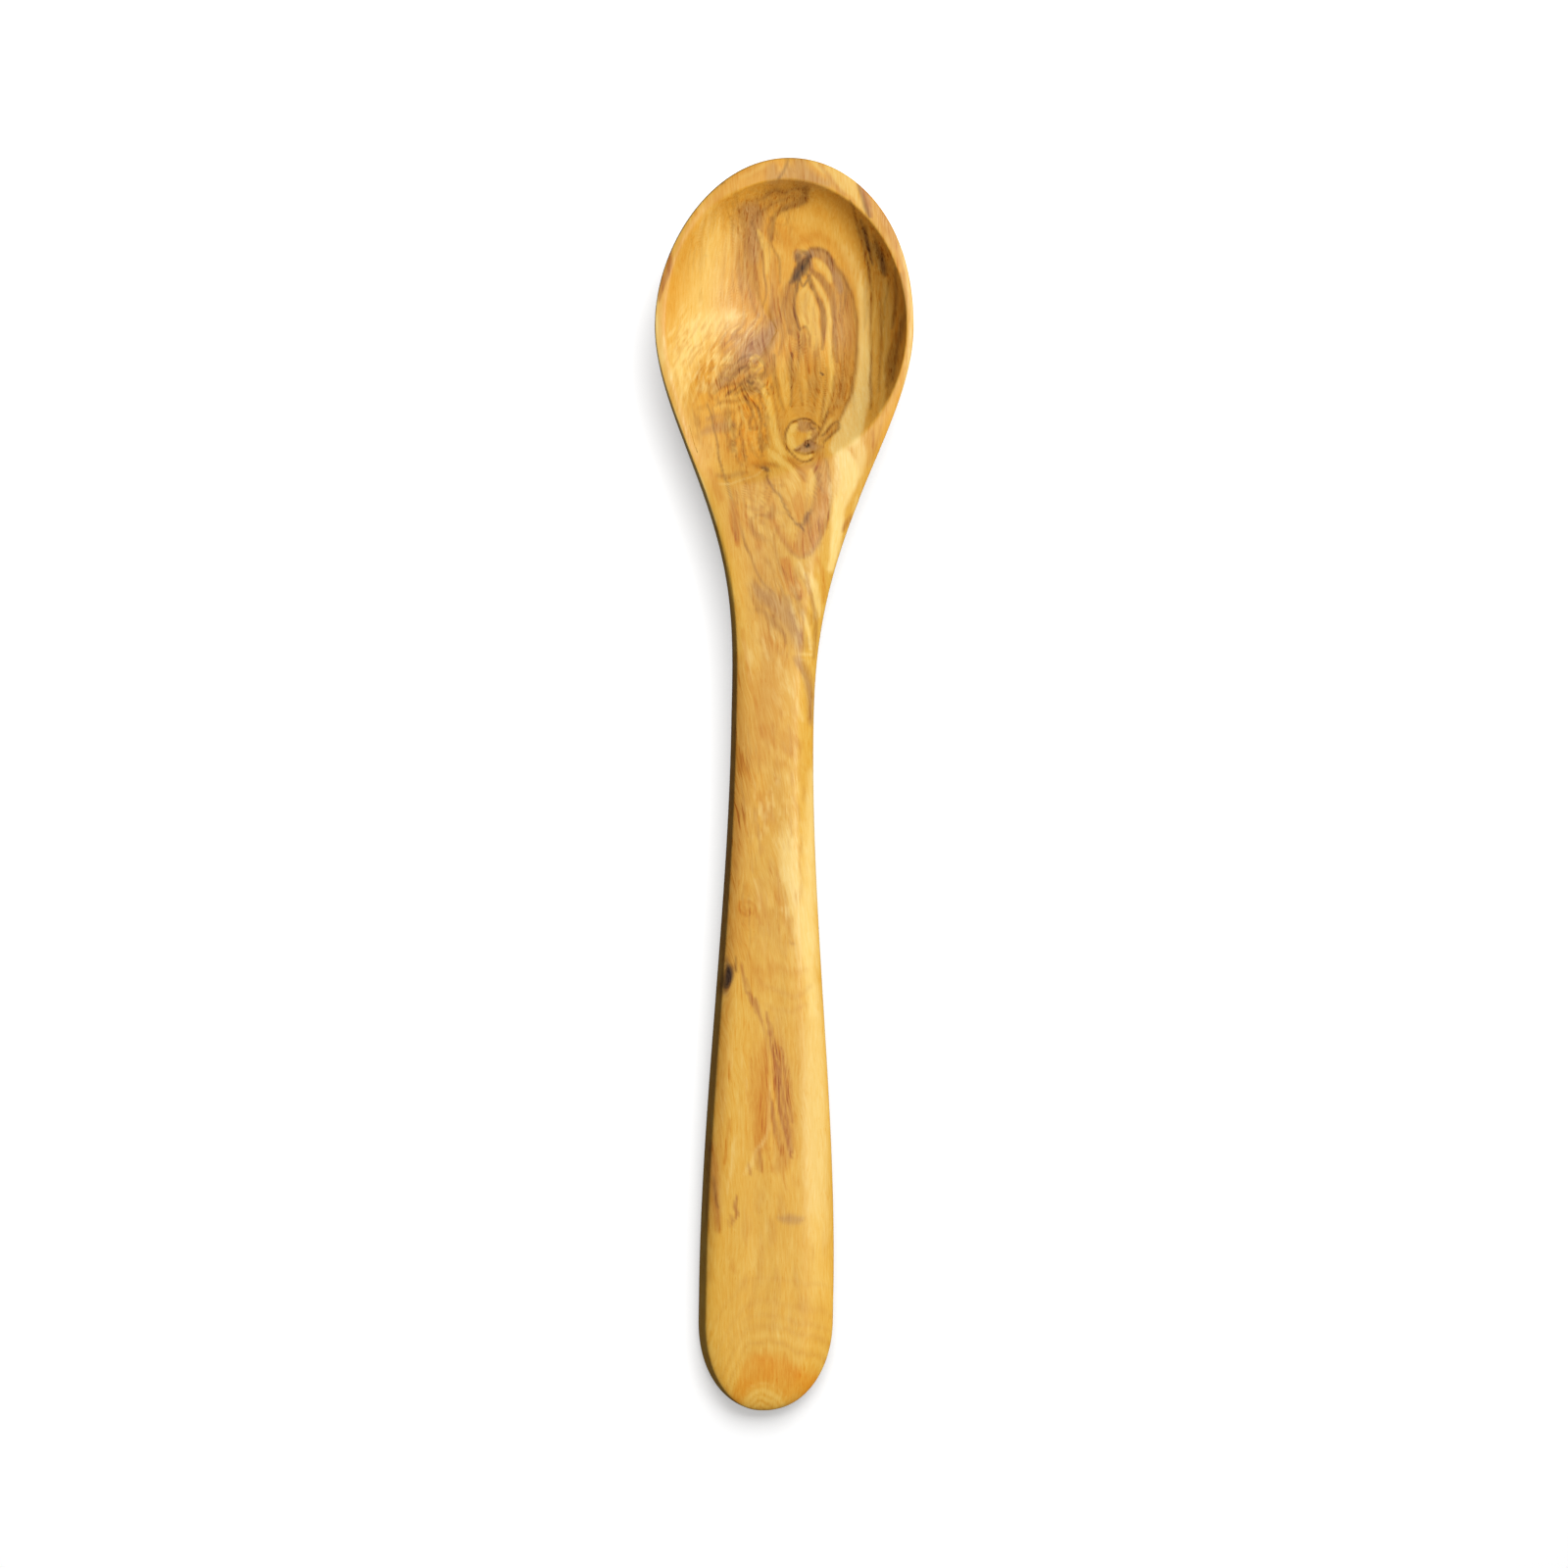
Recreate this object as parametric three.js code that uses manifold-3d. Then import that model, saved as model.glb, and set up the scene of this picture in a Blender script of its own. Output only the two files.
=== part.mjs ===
// A wooden cooking spoon, carved in one piece from a board of olive wood.
// Millimetres, +Z up. The spoon lies on a table at z = 0 with its bowl towards +Y, its handle
// towards -Y and its hollow facing up. The origin is on the table, under the middle of its length.
// A station is a distance along the spoon from the end of the handle.

import * as THREE from 'three';
import { mergeVertices } from 'three/addons/utils/BufferGeometryUtils.js';
import Module from 'manifold-3d';

// Outline, seen from above
const overallLength = 300;
const bowlWidth = 62.5;
const bowlTipReach = 40; // from the widest line of the bowl to its tip
const neckWidth = 19.8;
const neckFromTip = 135; // from the narrowest place to the tip of the bowl
const shoulderEase = 1.46; // above 1, the shoulder swells nearer to the bowl than to the neck
const gripWidth = 32.4;
const gripFromEnd = 30; // from the widest place of the grip to the end of the handle
const gripEndRound = 22; // length of the round end
const gripEndSquareness = 2.1; // 2 is a half ellipse
const neckBow = -0.9; // how far the hand-sawn outline strays sideways at the neck
const shoulderLean = 0.8; // at the shoulder
const tipLean = 1.2; // and at the tip of the bowl

// Side view: the top face is straight, as the board was, and the back is carved
const rimHeight = 20.4; // table to top face at the widest line of the bowl
const gripThickness = 10;
const neckThickness = 11.6;
const bellyRun = 68; // from the widest line of the bowl to where its belly has run out under the neck
const restFlat = 0.35; // depth sanded flat under the belly and under the heel, where the spoon lies

// Edges: a drop is the height from the top face to the widest line of the section below it
const rimDrop = 1.6;
const wornDrop = 0.7; // at the left of the rim, which is worn
const leftDrop = 6.2; // on the grip
const rightDrop = 4.2;
const bevelRun = 50; // over this length, up to the widest line of the bowl, the right bevel runs out
const bevelLead = 32; // the left bevel runs out this far nearer to the handle
const wornRun = 32; // length of the worn rim to either side of the widest line of the bowl
const leftCorner = 0.955; // share of the half width at which the top turns down into a bevel
const rightCorner = 0.56;
const leftCornerEase = 0.012; // how softly it turns, as a share of the half width
const rightCornerEase = 0.1;
const leftBevel = 0.55; // share of the drop that the bevel takes, the rest is a round
const rightBevel = 0.62;
const wornCorner = 0.92; // the same two where the rim is worn
const wornBevel = 0.9;
const rimSquareness = 9; // 2 is a round section, and a larger number a squarer one
const leftSquareness = 3.2;
const rightSquareness = 5;
const backSquareness = 3;
const bellySquareness = 2;
const tipBluntness = 6;
const gripBluntness = 3;

// The hollow of the bowl
const hollowDepth = 11.5;
const hollowNeckReach = 33; // from the widest line of the bowl towards the neck
const rimAtTip = 5.3;
const rimAtRight = 1.9;
const rimAtLeft = 2.8;
const wallAtRight = 0.92; // 0 is a round hollow, towards 1 it has a flat floor and a steep wall
const wallAtLeft = 0.5;
const wallAtTip = 0.45;
const wallAtNeck = -0.45;
const steepnessAtRight = 8; // power by which that wall rises
const steepnessAtLeft = 4;
const steepnessAtTip = 16;
const steepnessAtNeck = 4;
const wallAtMiddle = 0.5;
const steepnessAtMiddle = 5;
const evenFloor = 0.65; // share of the hollow's reach up to which the values for the middle count
const runOutLength = 7.6; // the gouge ran out past the hollow's end, towards the left of the neck
const runOutAngle = THREE.MathUtils.degToRad(-23);
const runOutSpread = THREE.MathUtils.degToRad(19);
const runOutStart = 0.35; // share of the hollow's reach from which the run-out grows

// Facets
const sectionSides = 48;
const endSteps = 9;
const gripSteps = 26;
const shoulderSteps = 24;
const tipSteps = 14;
const hollowSides = 72;
const hollowRings = 12;
const cutterReach = 1.2; // the hollow's cutter goes on past the rim to this share of its reach
const cutterClearance = 5;

const bowlStation = overallLength - bowlTipReach;
const neckStation = overallLength - neckFromTip;
const bellyEndStation = bowlStation - bellyRun;

const { clamp, lerp, smoothstep } = THREE.MathUtils;

// A quarter of a superellipse: 1 at 0 and 0 at 1, the squarer the larger its power.
const quarterRound = (share, power) => Math.max(0, 1 - Math.abs(share) ** power) ** (1 / power);

// How far the round ends have closed: 1 along the spoon, 0 at either end.
function endRound(station, tipPower, gripPower) {
  const pastBowl = clamp((station - bowlStation) / bowlTipReach, 0, 1);
  const pastGrip = clamp(1 - station / gripEndRound, 0, 1);
  return quarterRound(pastBowl, tipPower) * quarterRound(pastGrip, gripPower);
}

// 0 on the handle and 1 on the bowl, rising over the shoulder.
const bowlShare = (station) => smoothstep(station, neckStation, bowlStation);

function halfWidth(station) {
  const shoulder = clamp((station - neckStation) / (bowlStation - neckStation), 0, 1);
  const swell = smoothstep(shoulder ** shoulderEase, 0, 1);
  const flare = 1 - smoothstep(station, gripFromEnd, neckStation);
  const width = neckWidth + (bowlWidth - neckWidth) * swell + (gripWidth - neckWidth) * flare;
  return (width / 2) * endRound(station, 2, gripEndSquareness);
}

// The centre line strays to one side at the neck, and to the other at the shoulder and the tip.
function centreX(station) {
  const bow = smoothstep(station, gripFromEnd, neckStation) - bowlShare(station);
  const shoulder = clamp((station - neckStation) / (bowlStation - neckStation), 0, 1);
  const lean = shoulderLean * Math.sin(Math.PI * shoulder) ** 2;
  return neckBow * bow + lean + tipLean * smoothstep(station, bowlStation, overallLength);
}

// The straight top face, as high over the heel as the grip is thick.
function topHeight(station) {
  const alongHandle = (station - gripEndRound) / (bowlStation - gripEndRound);
  return lerp(gripThickness - restFlat, rimHeight, alongHandle);
}

// 0 where the section is the handle's and 1 where it is the rim's.
function rimShare(station, isLeft) {
  const rimStart = bowlStation - (isLeft ? bevelLead : 0);
  return smoothstep(station, rimStart - bevelRun, rimStart);
}

// 1 at the widest line of the bowl, where the left of the rim is worn, and 0 where the wear ends.
const wornShare = (station) => 1 - smoothstep(Math.abs(station - bowlStation), 0, wornRun);

// From the top face down to the widest line of the section, equal on both sides at either end.
function edgeDrop(station, isLeft) {
  const left = lerp(leftDrop, wornDrop, smoothstep(station, gripFromEnd, bowlStation));
  const right = lerp(rightDrop, rimDrop, rimShare(station, false));
  const apart = ((left - right) / 2) * endRound(station, 2, gripEndSquareness);
  return (left + right) / 2 + (isLeft ? apart : -apart);
}

const middleDrop = (station) => (edgeDrop(station, true) + edgeDrop(station, false)) / 2;
const edgeHeight = (station, isLeft) => topHeight(station) - edgeDrop(station, isLeft);

// The highest and the lowest line of the section, which meet the edge at both ends.
function ridgeHeight(station) {
  const closed = 1 - endRound(station, tipBluntness, gripBluntness);
  return topHeight(station) - middleDrop(station) * closed;
}

function backHeight(station) {
  const thickness = lerp(gripThickness, neckThickness, smoothstep(station, gripEndRound, neckStation));
  const belly = rimHeight - middleDrop(bowlStation) + restFlat;
  const share = smoothstep(station, bellyEndStation, bowlStation);
  const depth = lerp(thickness - middleDrop(station), belly, share);
  return topHeight(station) - middleDrop(station) - depth * endRound(station, 2, gripBluntness);
}

function topPower(station, isLeft) {
  return lerp(isLeft ? leftSquareness : rightSquareness, rimSquareness, rimShare(station, isLeft));
}

const backPower = (station) => lerp(backSquareness, bellySquareness, rimShare(station, false));

// The upper half of the section, 1 at its ridge and 0 at its edge, by the share of the half width.
// It is a squarish round, mixed with a slope that starts at the corner.
function topProfile(across, station) {
  const isLeft = across < 0;
  const worn = isLeft ? wornShare(station) : 0;
  const corner = lerp(isLeft ? leftCorner : rightCorner, wornCorner, worn);
  const ease = isLeft ? leftCornerEase : rightCornerEase;
  const carved = (isLeft ? leftBevel : rightBevel) * (1 - rimShare(station, isLeft));
  const bevel = lerp(carved, wornBevel, worn);
  const past = (share) => (share - corner + Math.hypot(share - corner, ease)) / 2;
  const slope = (past(1) - past(Math.abs(across))) / (past(1) - past(0));
  return lerp(quarterRound(across, topPower(station, isLeft)), slope, bevel);
}

// The top of the blank at a place, before the bowl is hollowed.
function blankTop(x, station) {
  const across = clamp((x - centreX(station)) / Math.max(halfWidth(station), 1e-6), -1, 1);
  return lerp(edgeHeight(station, across < 0), ridgeHeight(station), topProfile(across, station));
}

const place = (x, station, z) => new THREE.Vector3(x, station - overallLength / 2, z);

// One turn of the section at a station, from its right edge over the top to the left and back below.
function section(station) {
  return Array.from({ length: sectionSides }, (_, i) => {
    const angle = (i / sectionSides) * Math.PI * 2;
    const [toRight, up] = [Math.cos(angle), Math.sin(angle)];
    const isLeft = toRight < 0;
    const power = up > 0 ? topPower(station, isLeft) : backPower(station);
    const across = Math.sign(toRight) * Math.abs(toRight) ** (2 / power);
    const share = up > 0 ? topProfile(across, station) : Math.abs(up) ** (2 / power);
    const furthest = up > 0 ? ridgeHeight(station) : backHeight(station);
    const x = centreX(station) + halfWidth(station) * across;
    return place(x, station, lerp(edgeHeight(station, isLeft), furthest, share));
  });
}

// A closed surface through rings of points, with a point at either end.
function loft(first, rings, last) {
  const sides = rings[0].length;
  const points = [first, ...rings.flat(), last];
  const at = (ring, side) => 1 + ring * sides + (side % sides);
  const index = [];
  for (let side = 0; side < sides; side++) {
    index.push(0, at(0, side), at(0, side + 1));
    for (let ring = 0; ring + 1 < rings.length; ring++) {
      const [a, b] = [at(ring, side), at(ring, side + 1)];
      const [c, d] = [at(ring + 1, side), at(ring + 1, side + 1)];
      index.push(a, c, b, b, c, d);
    }
    index.push(at(rings.length - 1, side), points.length - 1, at(rings.length - 1, side + 1));
  }
  return new THREE.BufferGeometry().setFromPoints(points).setIndex(index);
}

// Stations of the blank's sections: close together at the round ends, even between them.
function stations() {
  const steps = (count, station) => Array.from({ length: count }, (_, i) => station(i / count));
  const turn = Math.PI / 2;
  return [
    ...steps(endSteps, (t) => gripEndRound * (1 - Math.cos(t * turn))).slice(1),
    ...steps(gripSteps, (t) => lerp(gripEndRound, neckStation, t)),
    ...steps(shoulderSteps, (t) => lerp(neckStation, bowlStation, t)),
    ...steps(tipSteps, (t) => bowlStation + bowlTipReach * Math.sin(t * turn)),
  ];
}

function blank() {
  const end = place(centreX(0), 0, ridgeHeight(0));
  const tip = place(centreX(overallLength), overallLength, ridgeHeight(overallLength));
  return loft(end, stations().map(section), tip);
}

// The hollow's edge, by its distance from the middle of the bowl: two half ellipses, and what the
// run-out of the gouge adds to them. The angle is 0 towards the neck and a quarter turn to the right.
function hollowEllipse(angle) {
  const sideways = bowlWidth / 2 - (Math.sin(angle) > 0 ? rimAtRight : rimAtLeft);
  const lengthways = Math.cos(angle) > 0 ? hollowNeckReach : bowlTipReach - rimAtTip;
  return 1 / Math.hypot(Math.sin(angle) / sideways, Math.cos(angle) / lengthways);
}

function runOut(angle) {
  const off = Math.atan2(Math.sin(angle - runOutAngle), Math.cos(angle - runOutAngle));
  return runOutLength * Math.exp(-((off / runOutSpread) ** 2));
}

// A value of the hollow in one direction, from its values at the right, the left, the neck and the tip.
function towards(angle, atRight, atLeft, atNeck, atTip) {
  const [toRight, toNeck] = [Math.sin(angle), Math.cos(angle)];
  return toRight ** 2 * (toRight > 0 ? atRight : atLeft) + toNeck ** 2 * (toNeck > 0 ? atNeck : atTip);
}

// Depth of the hollow, 1 in the middle and 0 at its edge, carried on straight past the edge.
function hollowShape(share, angle) {
  const outer = smoothstep(share, 0, evenFloor);
  const outerWall = towards(angle, wallAtRight, wallAtLeft, wallAtNeck, wallAtTip);
  const outerSteepness = towards(angle, steepnessAtRight, steepnessAtLeft, steepnessAtNeck, steepnessAtTip);
  const wall = lerp(wallAtMiddle, outerWall, outer);
  const steepness = lerp(steepnessAtMiddle, outerSteepness, outer);
  const inside = Math.min(share, 1);
  const rise = (1 - wall) * inside ** 2 + wall * inside ** steepness;
  return 1 - rise - (2 * (1 - wall) + wall * steepness) * (share - inside);
}

function hollowPoint(share, angle) {
  const reach = share * (hollowEllipse(angle) + runOut(angle));
  const x = centreX(bowlStation) + reach * Math.sin(angle);
  const station = bowlStation - reach * Math.cos(angle);
  const plain = 1 - smoothstep(share, runOutStart, 1);
  const depthShare = share * (1 + (plain * runOut(angle)) / hollowEllipse(angle));
  const onBlank = clamp(station, 0, overallLength);
  return place(x, station, blankTop(x, onBlank) - hollowDepth * hollowShape(depthShare, angle));
}

// The body that the hollow is cut with: its floor and walls, carried on past the rim, and a lid.
// Its rings are closer together where the wall is steep.
function hollowCutter() {
  const insideShare = (ring) => Math.sin(((ring + 1) / hollowRings) * (Math.PI / 2));
  const shares = [...Array.from({ length: hollowRings }, (_, ring) => insideShare(ring)), cutterReach];
  const turn = (side) => (-side / hollowSides) * Math.PI * 2;
  const rings = shares.map((share) =>
    Array.from({ length: hollowSides }, (_, side) => hollowPoint(share, turn(side))),
  );
  const lid = Math.max(...rings.at(-1).map((point) => point.z)) + cutterClearance;
  const middle = hollowPoint(0, 0);
  return loft(middle, rings, new THREE.Vector3(middle.x, middle.y, lid));
}

// All that lies below the table.
function belowTable() {
  const depth = rimHeight;
  return new THREE.BoxGeometry(2 * bowlWidth, 2 * overallLength, depth).translate(0, 0, -depth / 2);
}

const wasm = await Module();
wasm.setup();

function solid(geometry) {
  const bare = new THREE.BufferGeometry().setAttribute('position', geometry.getAttribute('position'));
  const merged = mergeVertices(bare.setIndex(geometry.index));
  const vertProperties = new Float32Array(merged.getAttribute('position').array);
  const triVerts = new Uint32Array(merged.index.array);
  return new wasm.Manifold(new wasm.Mesh({ numProp: 3, vertProperties, triVerts }));
}

function geometryOf(body) {
  const { vertProperties, triVerts } = body.getMesh();
  const geometry = new THREE.BufferGeometry();
  geometry.setAttribute('position', new THREE.BufferAttribute(vertProperties, 3));
  geometry.setIndex(new THREE.BufferAttribute(triVerts, 1));
  geometry.computeVertexNormals();
  return geometry;
}

const oliveWood = new THREE.MeshStandardMaterial({ color: 0xd9a648, roughness: 0.45, metalness: 0 });

function spoonBody() {
  const carved = solid(blank()).subtract(solid(hollowCutter())).subtract(solid(belowTable()));
  const mesh = new THREE.Mesh(geometryOf(carved), oliveWood);
  mesh.name = 'spoon_body';
  return mesh;
}

const spoon = new THREE.Group();
spoon.add(spoonBody());

export default spoon;
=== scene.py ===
import math

import bmesh
import bpy
import numpy as np
from mathutils import Matrix, Vector


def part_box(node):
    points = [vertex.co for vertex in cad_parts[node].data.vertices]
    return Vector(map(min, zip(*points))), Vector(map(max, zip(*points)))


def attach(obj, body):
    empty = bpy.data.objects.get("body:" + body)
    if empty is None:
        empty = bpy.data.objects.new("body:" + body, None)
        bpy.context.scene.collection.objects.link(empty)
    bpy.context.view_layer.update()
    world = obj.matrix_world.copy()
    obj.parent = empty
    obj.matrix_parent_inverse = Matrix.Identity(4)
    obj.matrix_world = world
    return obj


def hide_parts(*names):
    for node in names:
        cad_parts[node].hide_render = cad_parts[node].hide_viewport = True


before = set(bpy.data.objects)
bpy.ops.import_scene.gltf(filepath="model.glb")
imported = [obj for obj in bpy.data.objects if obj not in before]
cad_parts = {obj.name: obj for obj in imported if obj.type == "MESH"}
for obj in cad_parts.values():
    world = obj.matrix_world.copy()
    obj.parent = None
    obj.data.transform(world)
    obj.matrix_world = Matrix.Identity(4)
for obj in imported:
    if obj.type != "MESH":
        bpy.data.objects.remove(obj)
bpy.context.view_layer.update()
print("frame loaded")

mm = 0.001  # the spoon is worked out in millimetres

# Carved olive wood spoon: sizes as in the solid it stands for, stations from the handle's end.
boxLow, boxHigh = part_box("spoon_body")
spoon = {
    "length": (boxHigh.y - boxLow.y) / mm,
    "bowlWidth": (boxHigh.x - boxLow.x) / mm,
    "bowlTipReach": 40,  # widest line of the bowl to its tip
    "neckWidth": 19.8,
    "neckFromTip": 135,
    "shoulderEase": 1.46,
    "gripWidth": 32.4,
    "gripFromEnd": 30,
    "gripEndRound": 22,
    "gripEndSquareness": 2.1,
    "neckBow": -0.9,  # the hand-sawn outline strays sideways at these places
    "shoulderLean": 0.8,
    "tipLean": 1.2,
    "rimHeight": 20.4,
    "gripThickness": 10,
    "neckThickness": 11.6,
    "bellyRun": 68,
    "restFlat": 0.35,
    "rimDrop": 1.6,  # top face down to the widest line of the section
    "wornDrop": 0.7,  # at the left of the rim, which is worn
    "leftDrop": 6.2,
    "rightDrop": 4.2,
    "bevelRun": 50,  # the handle's edges turn into the rim's over this length
    "bevelLead": 32,  # on the left this much nearer to the handle
    "wornRun": 32,  # length of the worn rim to either side of the widest line of the bowl
    "leftCorner": 0.955,  # share of the half width at which the top turns down
    "rightCorner": 0.56,
    "leftCornerEase": 0.012,
    "rightCornerEase": 0.1,
    "leftBevel": 0.55,  # share of the drop that the slope past the corner takes
    "rightBevel": 0.62,
    "wornCorner": 0.92,  # the same two where the rim is worn
    "wornBevel": 0.9,
    "rimSquareness": 9,
    "leftSquareness": 3.2,
    "rightSquareness": 5,
    "backSquareness": 3,
    "bellySquareness": 2,
    "tipBluntness": 6,
    "gripBluntness": 3,
    "hollowDepth": 11.5,
    "hollowNeckReach": 33,
    "rimAtTip": 5.3,
    "rimAtRight": 1.9,
    "rimAtLeft": 2.8,
    "wallAtRight": 0.92,  # 0 is a round hollow, towards 1 it has a flat floor and a steep wall
    "wallAtLeft": 0.5,
    "wallAtTip": 0.45,
    "wallAtNeck": -0.45,
    "steepnessAtRight": 8,
    "steepnessAtLeft": 4,
    "steepnessAtTip": 16,
    "steepnessAtNeck": 4,
    "wallAtMiddle": 0.5,
    "steepnessAtMiddle": 5,
    "evenFloor": 0.65,  # share of the reach up to which the middle's values count
    "runOutLength": 7.6,
    "runOutAngle": math.radians(-23),
    "runOutSpread": math.radians(19),
    "runOutStart": 0.35,  # share of the reach from which the bump grows
    "crispEdge": 0.35,  # how far sanding has eased the hollow's edge
    "wornEdge": 2.4,
    "wornEdgeFrom": 0.25,  # sine of the angle to the left at which the edge begins to be worn
    "wornEdgeFull": 0.6,
    "joinFromTip": 81,  # where the bowl's grid meets the handle's
}
bowlStation = spoon["length"] - spoon["bowlTipReach"]
neckStation = spoon["length"] - spoon["neckFromTip"]
joinStation = spoon["length"] - spoon["joinFromTip"]
ellipsePower = 2  # of a superellipse that is a plain one


# Smooth rise from 0 to 1 between two values.
def rise(value, start, end):
    t = np.clip((value - start) / (end - start), 0, 1)
    return t * t * (3 - 2 * t)


def between(a, b, share):
    return a + (b - a) * share


# Quarter of a superellipse: 1 at 0, 0 at 1, the squarer the larger its power.
def quarterRound(share, power):
    return np.maximum(0, 1 - np.abs(share) ** power) ** (1 / power)


# 1 along the spoon, closing to 0 at the tip and at the handle's end.
def endRound(station, tipPower, gripPower):
    pastBowl = np.clip((station - bowlStation) / spoon["bowlTipReach"], 0, 1)
    pastGrip = np.clip(1 - station / spoon["gripEndRound"], 0, 1)
    return quarterRound(pastBowl, tipPower) * quarterRound(pastGrip, gripPower)


# 0 up to the neck, 1 from the bowl's widest line.
def shoulderShare(station):
    return np.clip((station - neckStation) / (bowlStation - neckStation), 0, 1)


# Outline: neck width, plus the bowl's swell, plus the grip's flare, closed by half ellipses.
def halfWidth(station):
    swell = rise(shoulderShare(station) ** spoon["shoulderEase"], 0, 1)
    flare = 1 - rise(station, spoon["gripFromEnd"], neckStation)
    neck = spoon["neckWidth"]
    width = neck + (spoon["bowlWidth"] - neck) * swell + (spoon["gripWidth"] - neck) * flare
    return width / 2 * endRound(station, ellipsePower, spoon["gripEndSquareness"])


# Middle of the section, which strays to the neck's, the shoulder's and the tip's side.
def centreX(station):
    bow = rise(station, spoon["gripFromEnd"], neckStation) - rise(station, neckStation, bowlStation)
    lean = np.sin(np.pi * shoulderShare(station)) ** 2
    tip = rise(station, bowlStation, spoon["length"])
    return spoon["neckBow"] * bow + spoon["shoulderLean"] * lean + spoon["tipLean"] * tip


# Straight top face, as the board had it.
def topHeight(station):
    along = (station - spoon["gripEndRound"]) / (bowlStation - spoon["gripEndRound"])
    return between(spoon["gripThickness"] - spoon["restFlat"], spoon["rimHeight"], along)


# 0 where the section is the handle's, 1 where it is the rim's.
def rimShare(station, isLeft):
    rimStart = bowlStation - np.where(isLeft, spoon["bevelLead"], 0)
    return rise(station, rimStart - spoon["bevelRun"], rimStart)


# Drop from the top face to the section's widest line, deeper on the left, equal at both ends.
def edgeDrop(station, isLeft):
    towardsBowl = rise(station, spoon["gripFromEnd"], bowlStation)
    left = between(spoon["leftDrop"], spoon["wornDrop"], towardsBowl)
    right = between(spoon["rightDrop"], spoon["rimDrop"], rimShare(station, False))
    apart = (left - right) / 2 * endRound(station, ellipsePower, spoon["gripEndSquareness"])
    return (left + right) / 2 + np.where(isLeft, apart, -apart)


def middleDrop(station):
    return (edgeDrop(station, True) + edgeDrop(station, False)) / 2


# Highest and lowest line of the section, which meet at both ends of the spoon.
def ridgeHeight(station):
    closed = 1 - endRound(station, spoon["tipBluntness"], spoon["gripBluntness"])
    return topHeight(station) - middleDrop(station) * closed


def backHeight(station):
    grown = rise(station, spoon["gripEndRound"], neckStation)
    thickness = between(spoon["gripThickness"], spoon["neckThickness"], grown)
    belly = spoon["rimHeight"] - middleDrop(bowlStation) + spoon["restFlat"]
    share = rise(station, bowlStation - spoon["bellyRun"], bowlStation)
    depth = between(thickness - middleDrop(station), belly, share)
    closing = endRound(station, ellipsePower, spoon["gripBluntness"])
    return topHeight(station) - middleDrop(station) - depth * closing


def topPower(station, isLeft):
    handle = np.where(isLeft, spoon["leftSquareness"], spoon["rightSquareness"])
    return between(handle, spoon["rimSquareness"], rimShare(station, isLeft))


# Upper half of the section, 1 at the ridge and 0 at the edge: a squarish round, mixed with a slope that
# sets in past a corner.
def topProfile(across, station):
    isLeft = across < 0
    worn = np.where(isLeft, 1 - rise(np.abs(station - bowlStation), 0, spoon["wornRun"]), 0)
    carved = np.where(isLeft, spoon["leftCorner"], spoon["rightCorner"])
    corner = between(carved, spoon["wornCorner"], worn)
    ease = np.where(isLeft, spoon["leftCornerEase"], spoon["rightCornerEase"])
    bevel = np.where(isLeft, spoon["leftBevel"], spoon["rightBevel"]) * (1 - rimShare(station, isLeft))
    slope = between(bevel, spoon["wornBevel"], worn)
    pastCorner = (-corner, np.abs(across) - corner, 1 - corner)
    start, here, end = [(past + np.hypot(past, ease)) / 2 for past in pastCorner]
    squarish = quarterRound(across, topPower(station, isLeft))
    return between(squarish, (end - here) / (end - start), slope)


def backPower(station):
    return between(spoon["backSquareness"], spoon["bellySquareness"], rimShare(station, False))


# The hollow in polar form about the bowl's middle, angle 0 to the neck and 90 degrees to the right.
# Its edge is two half ellipses with a bump where the gouge ran out.
# Its floor rises as (1 - wall) share^2 + wall share^steepness, straight past the edge, which is eased.
def hollowReach(angle):
    toRight, toNeck = np.sin(angle), np.cos(angle)
    rim = np.where(toRight > 0, spoon["rimAtRight"], spoon["rimAtLeft"])
    toTip = spoon["bowlTipReach"] - spoon["rimAtTip"]
    lengthways = np.where(toNeck > 0, spoon["hollowNeckReach"], toTip)
    ellipse = 1 / np.hypot(toRight / (spoon["bowlWidth"] / 2 - rim), toNeck / lengthways)
    off = np.angle(np.exp(1j * (angle - spoon["runOutAngle"])))
    return ellipse, spoon["runOutLength"] * np.exp(-((off / spoon["runOutSpread"]) ** 2))


def hollowCut(x, station):
    across, along = x - centreX(bowlStation), bowlStation - station
    angle = np.arctan2(across, along)
    ellipse, bump = hollowReach(angle)
    share = np.hypot(across, along) / (ellipse + bump)
    share = share * (1 + bump / ellipse * (1 - rise(share, spoon["runOutStart"], 1)))
    toRight, toNeck = np.sin(angle), np.cos(angle)
    outer = rise(share, 0, spoon["evenFloor"])
    wall, steepness = [
        between(
            spoon[name + "AtMiddle"],
            toRight**2 * np.where(toRight > 0, spoon[name + "AtRight"], spoon[name + "AtLeft"])
            + toNeck**2 * np.where(toNeck > 0, spoon[name + "AtNeck"], spoon[name + "AtTip"]),
            outer,
        )
        for name in ("wall", "steepness")
    ]
    inside, beyond = np.minimum(share, 1), np.maximum(share - 1, 0)
    rising = (1 - wall) * inside**2 + wall * inside**steepness
    depth = spoon["hollowDepth"] * (1 - rising - (2 * (1 - wall) + wall * steepness) * beyond)
    worn = rise(-toRight, spoon["wornEdgeFrom"], spoon["wornEdgeFull"])
    eased = between(spoon["crispEdge"], spoon["wornEdge"], worn)
    return (depth + np.sqrt(depth**2 + eased**2)) / 2


# Top of the spoon: the section's upper half, less the hollow.
def topOf(x, station):
    half = np.maximum(halfWidth(station), 1e-9)  # not 0 at the ends, as it divides
    across = np.clip((x - centreX(station)) / half, -1, 1)
    edge = topHeight(station) - edgeDrop(station, across < 0)
    return between(edge, ridgeHeight(station), topProfile(across, station)) - hollowCut(x, station)


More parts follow.
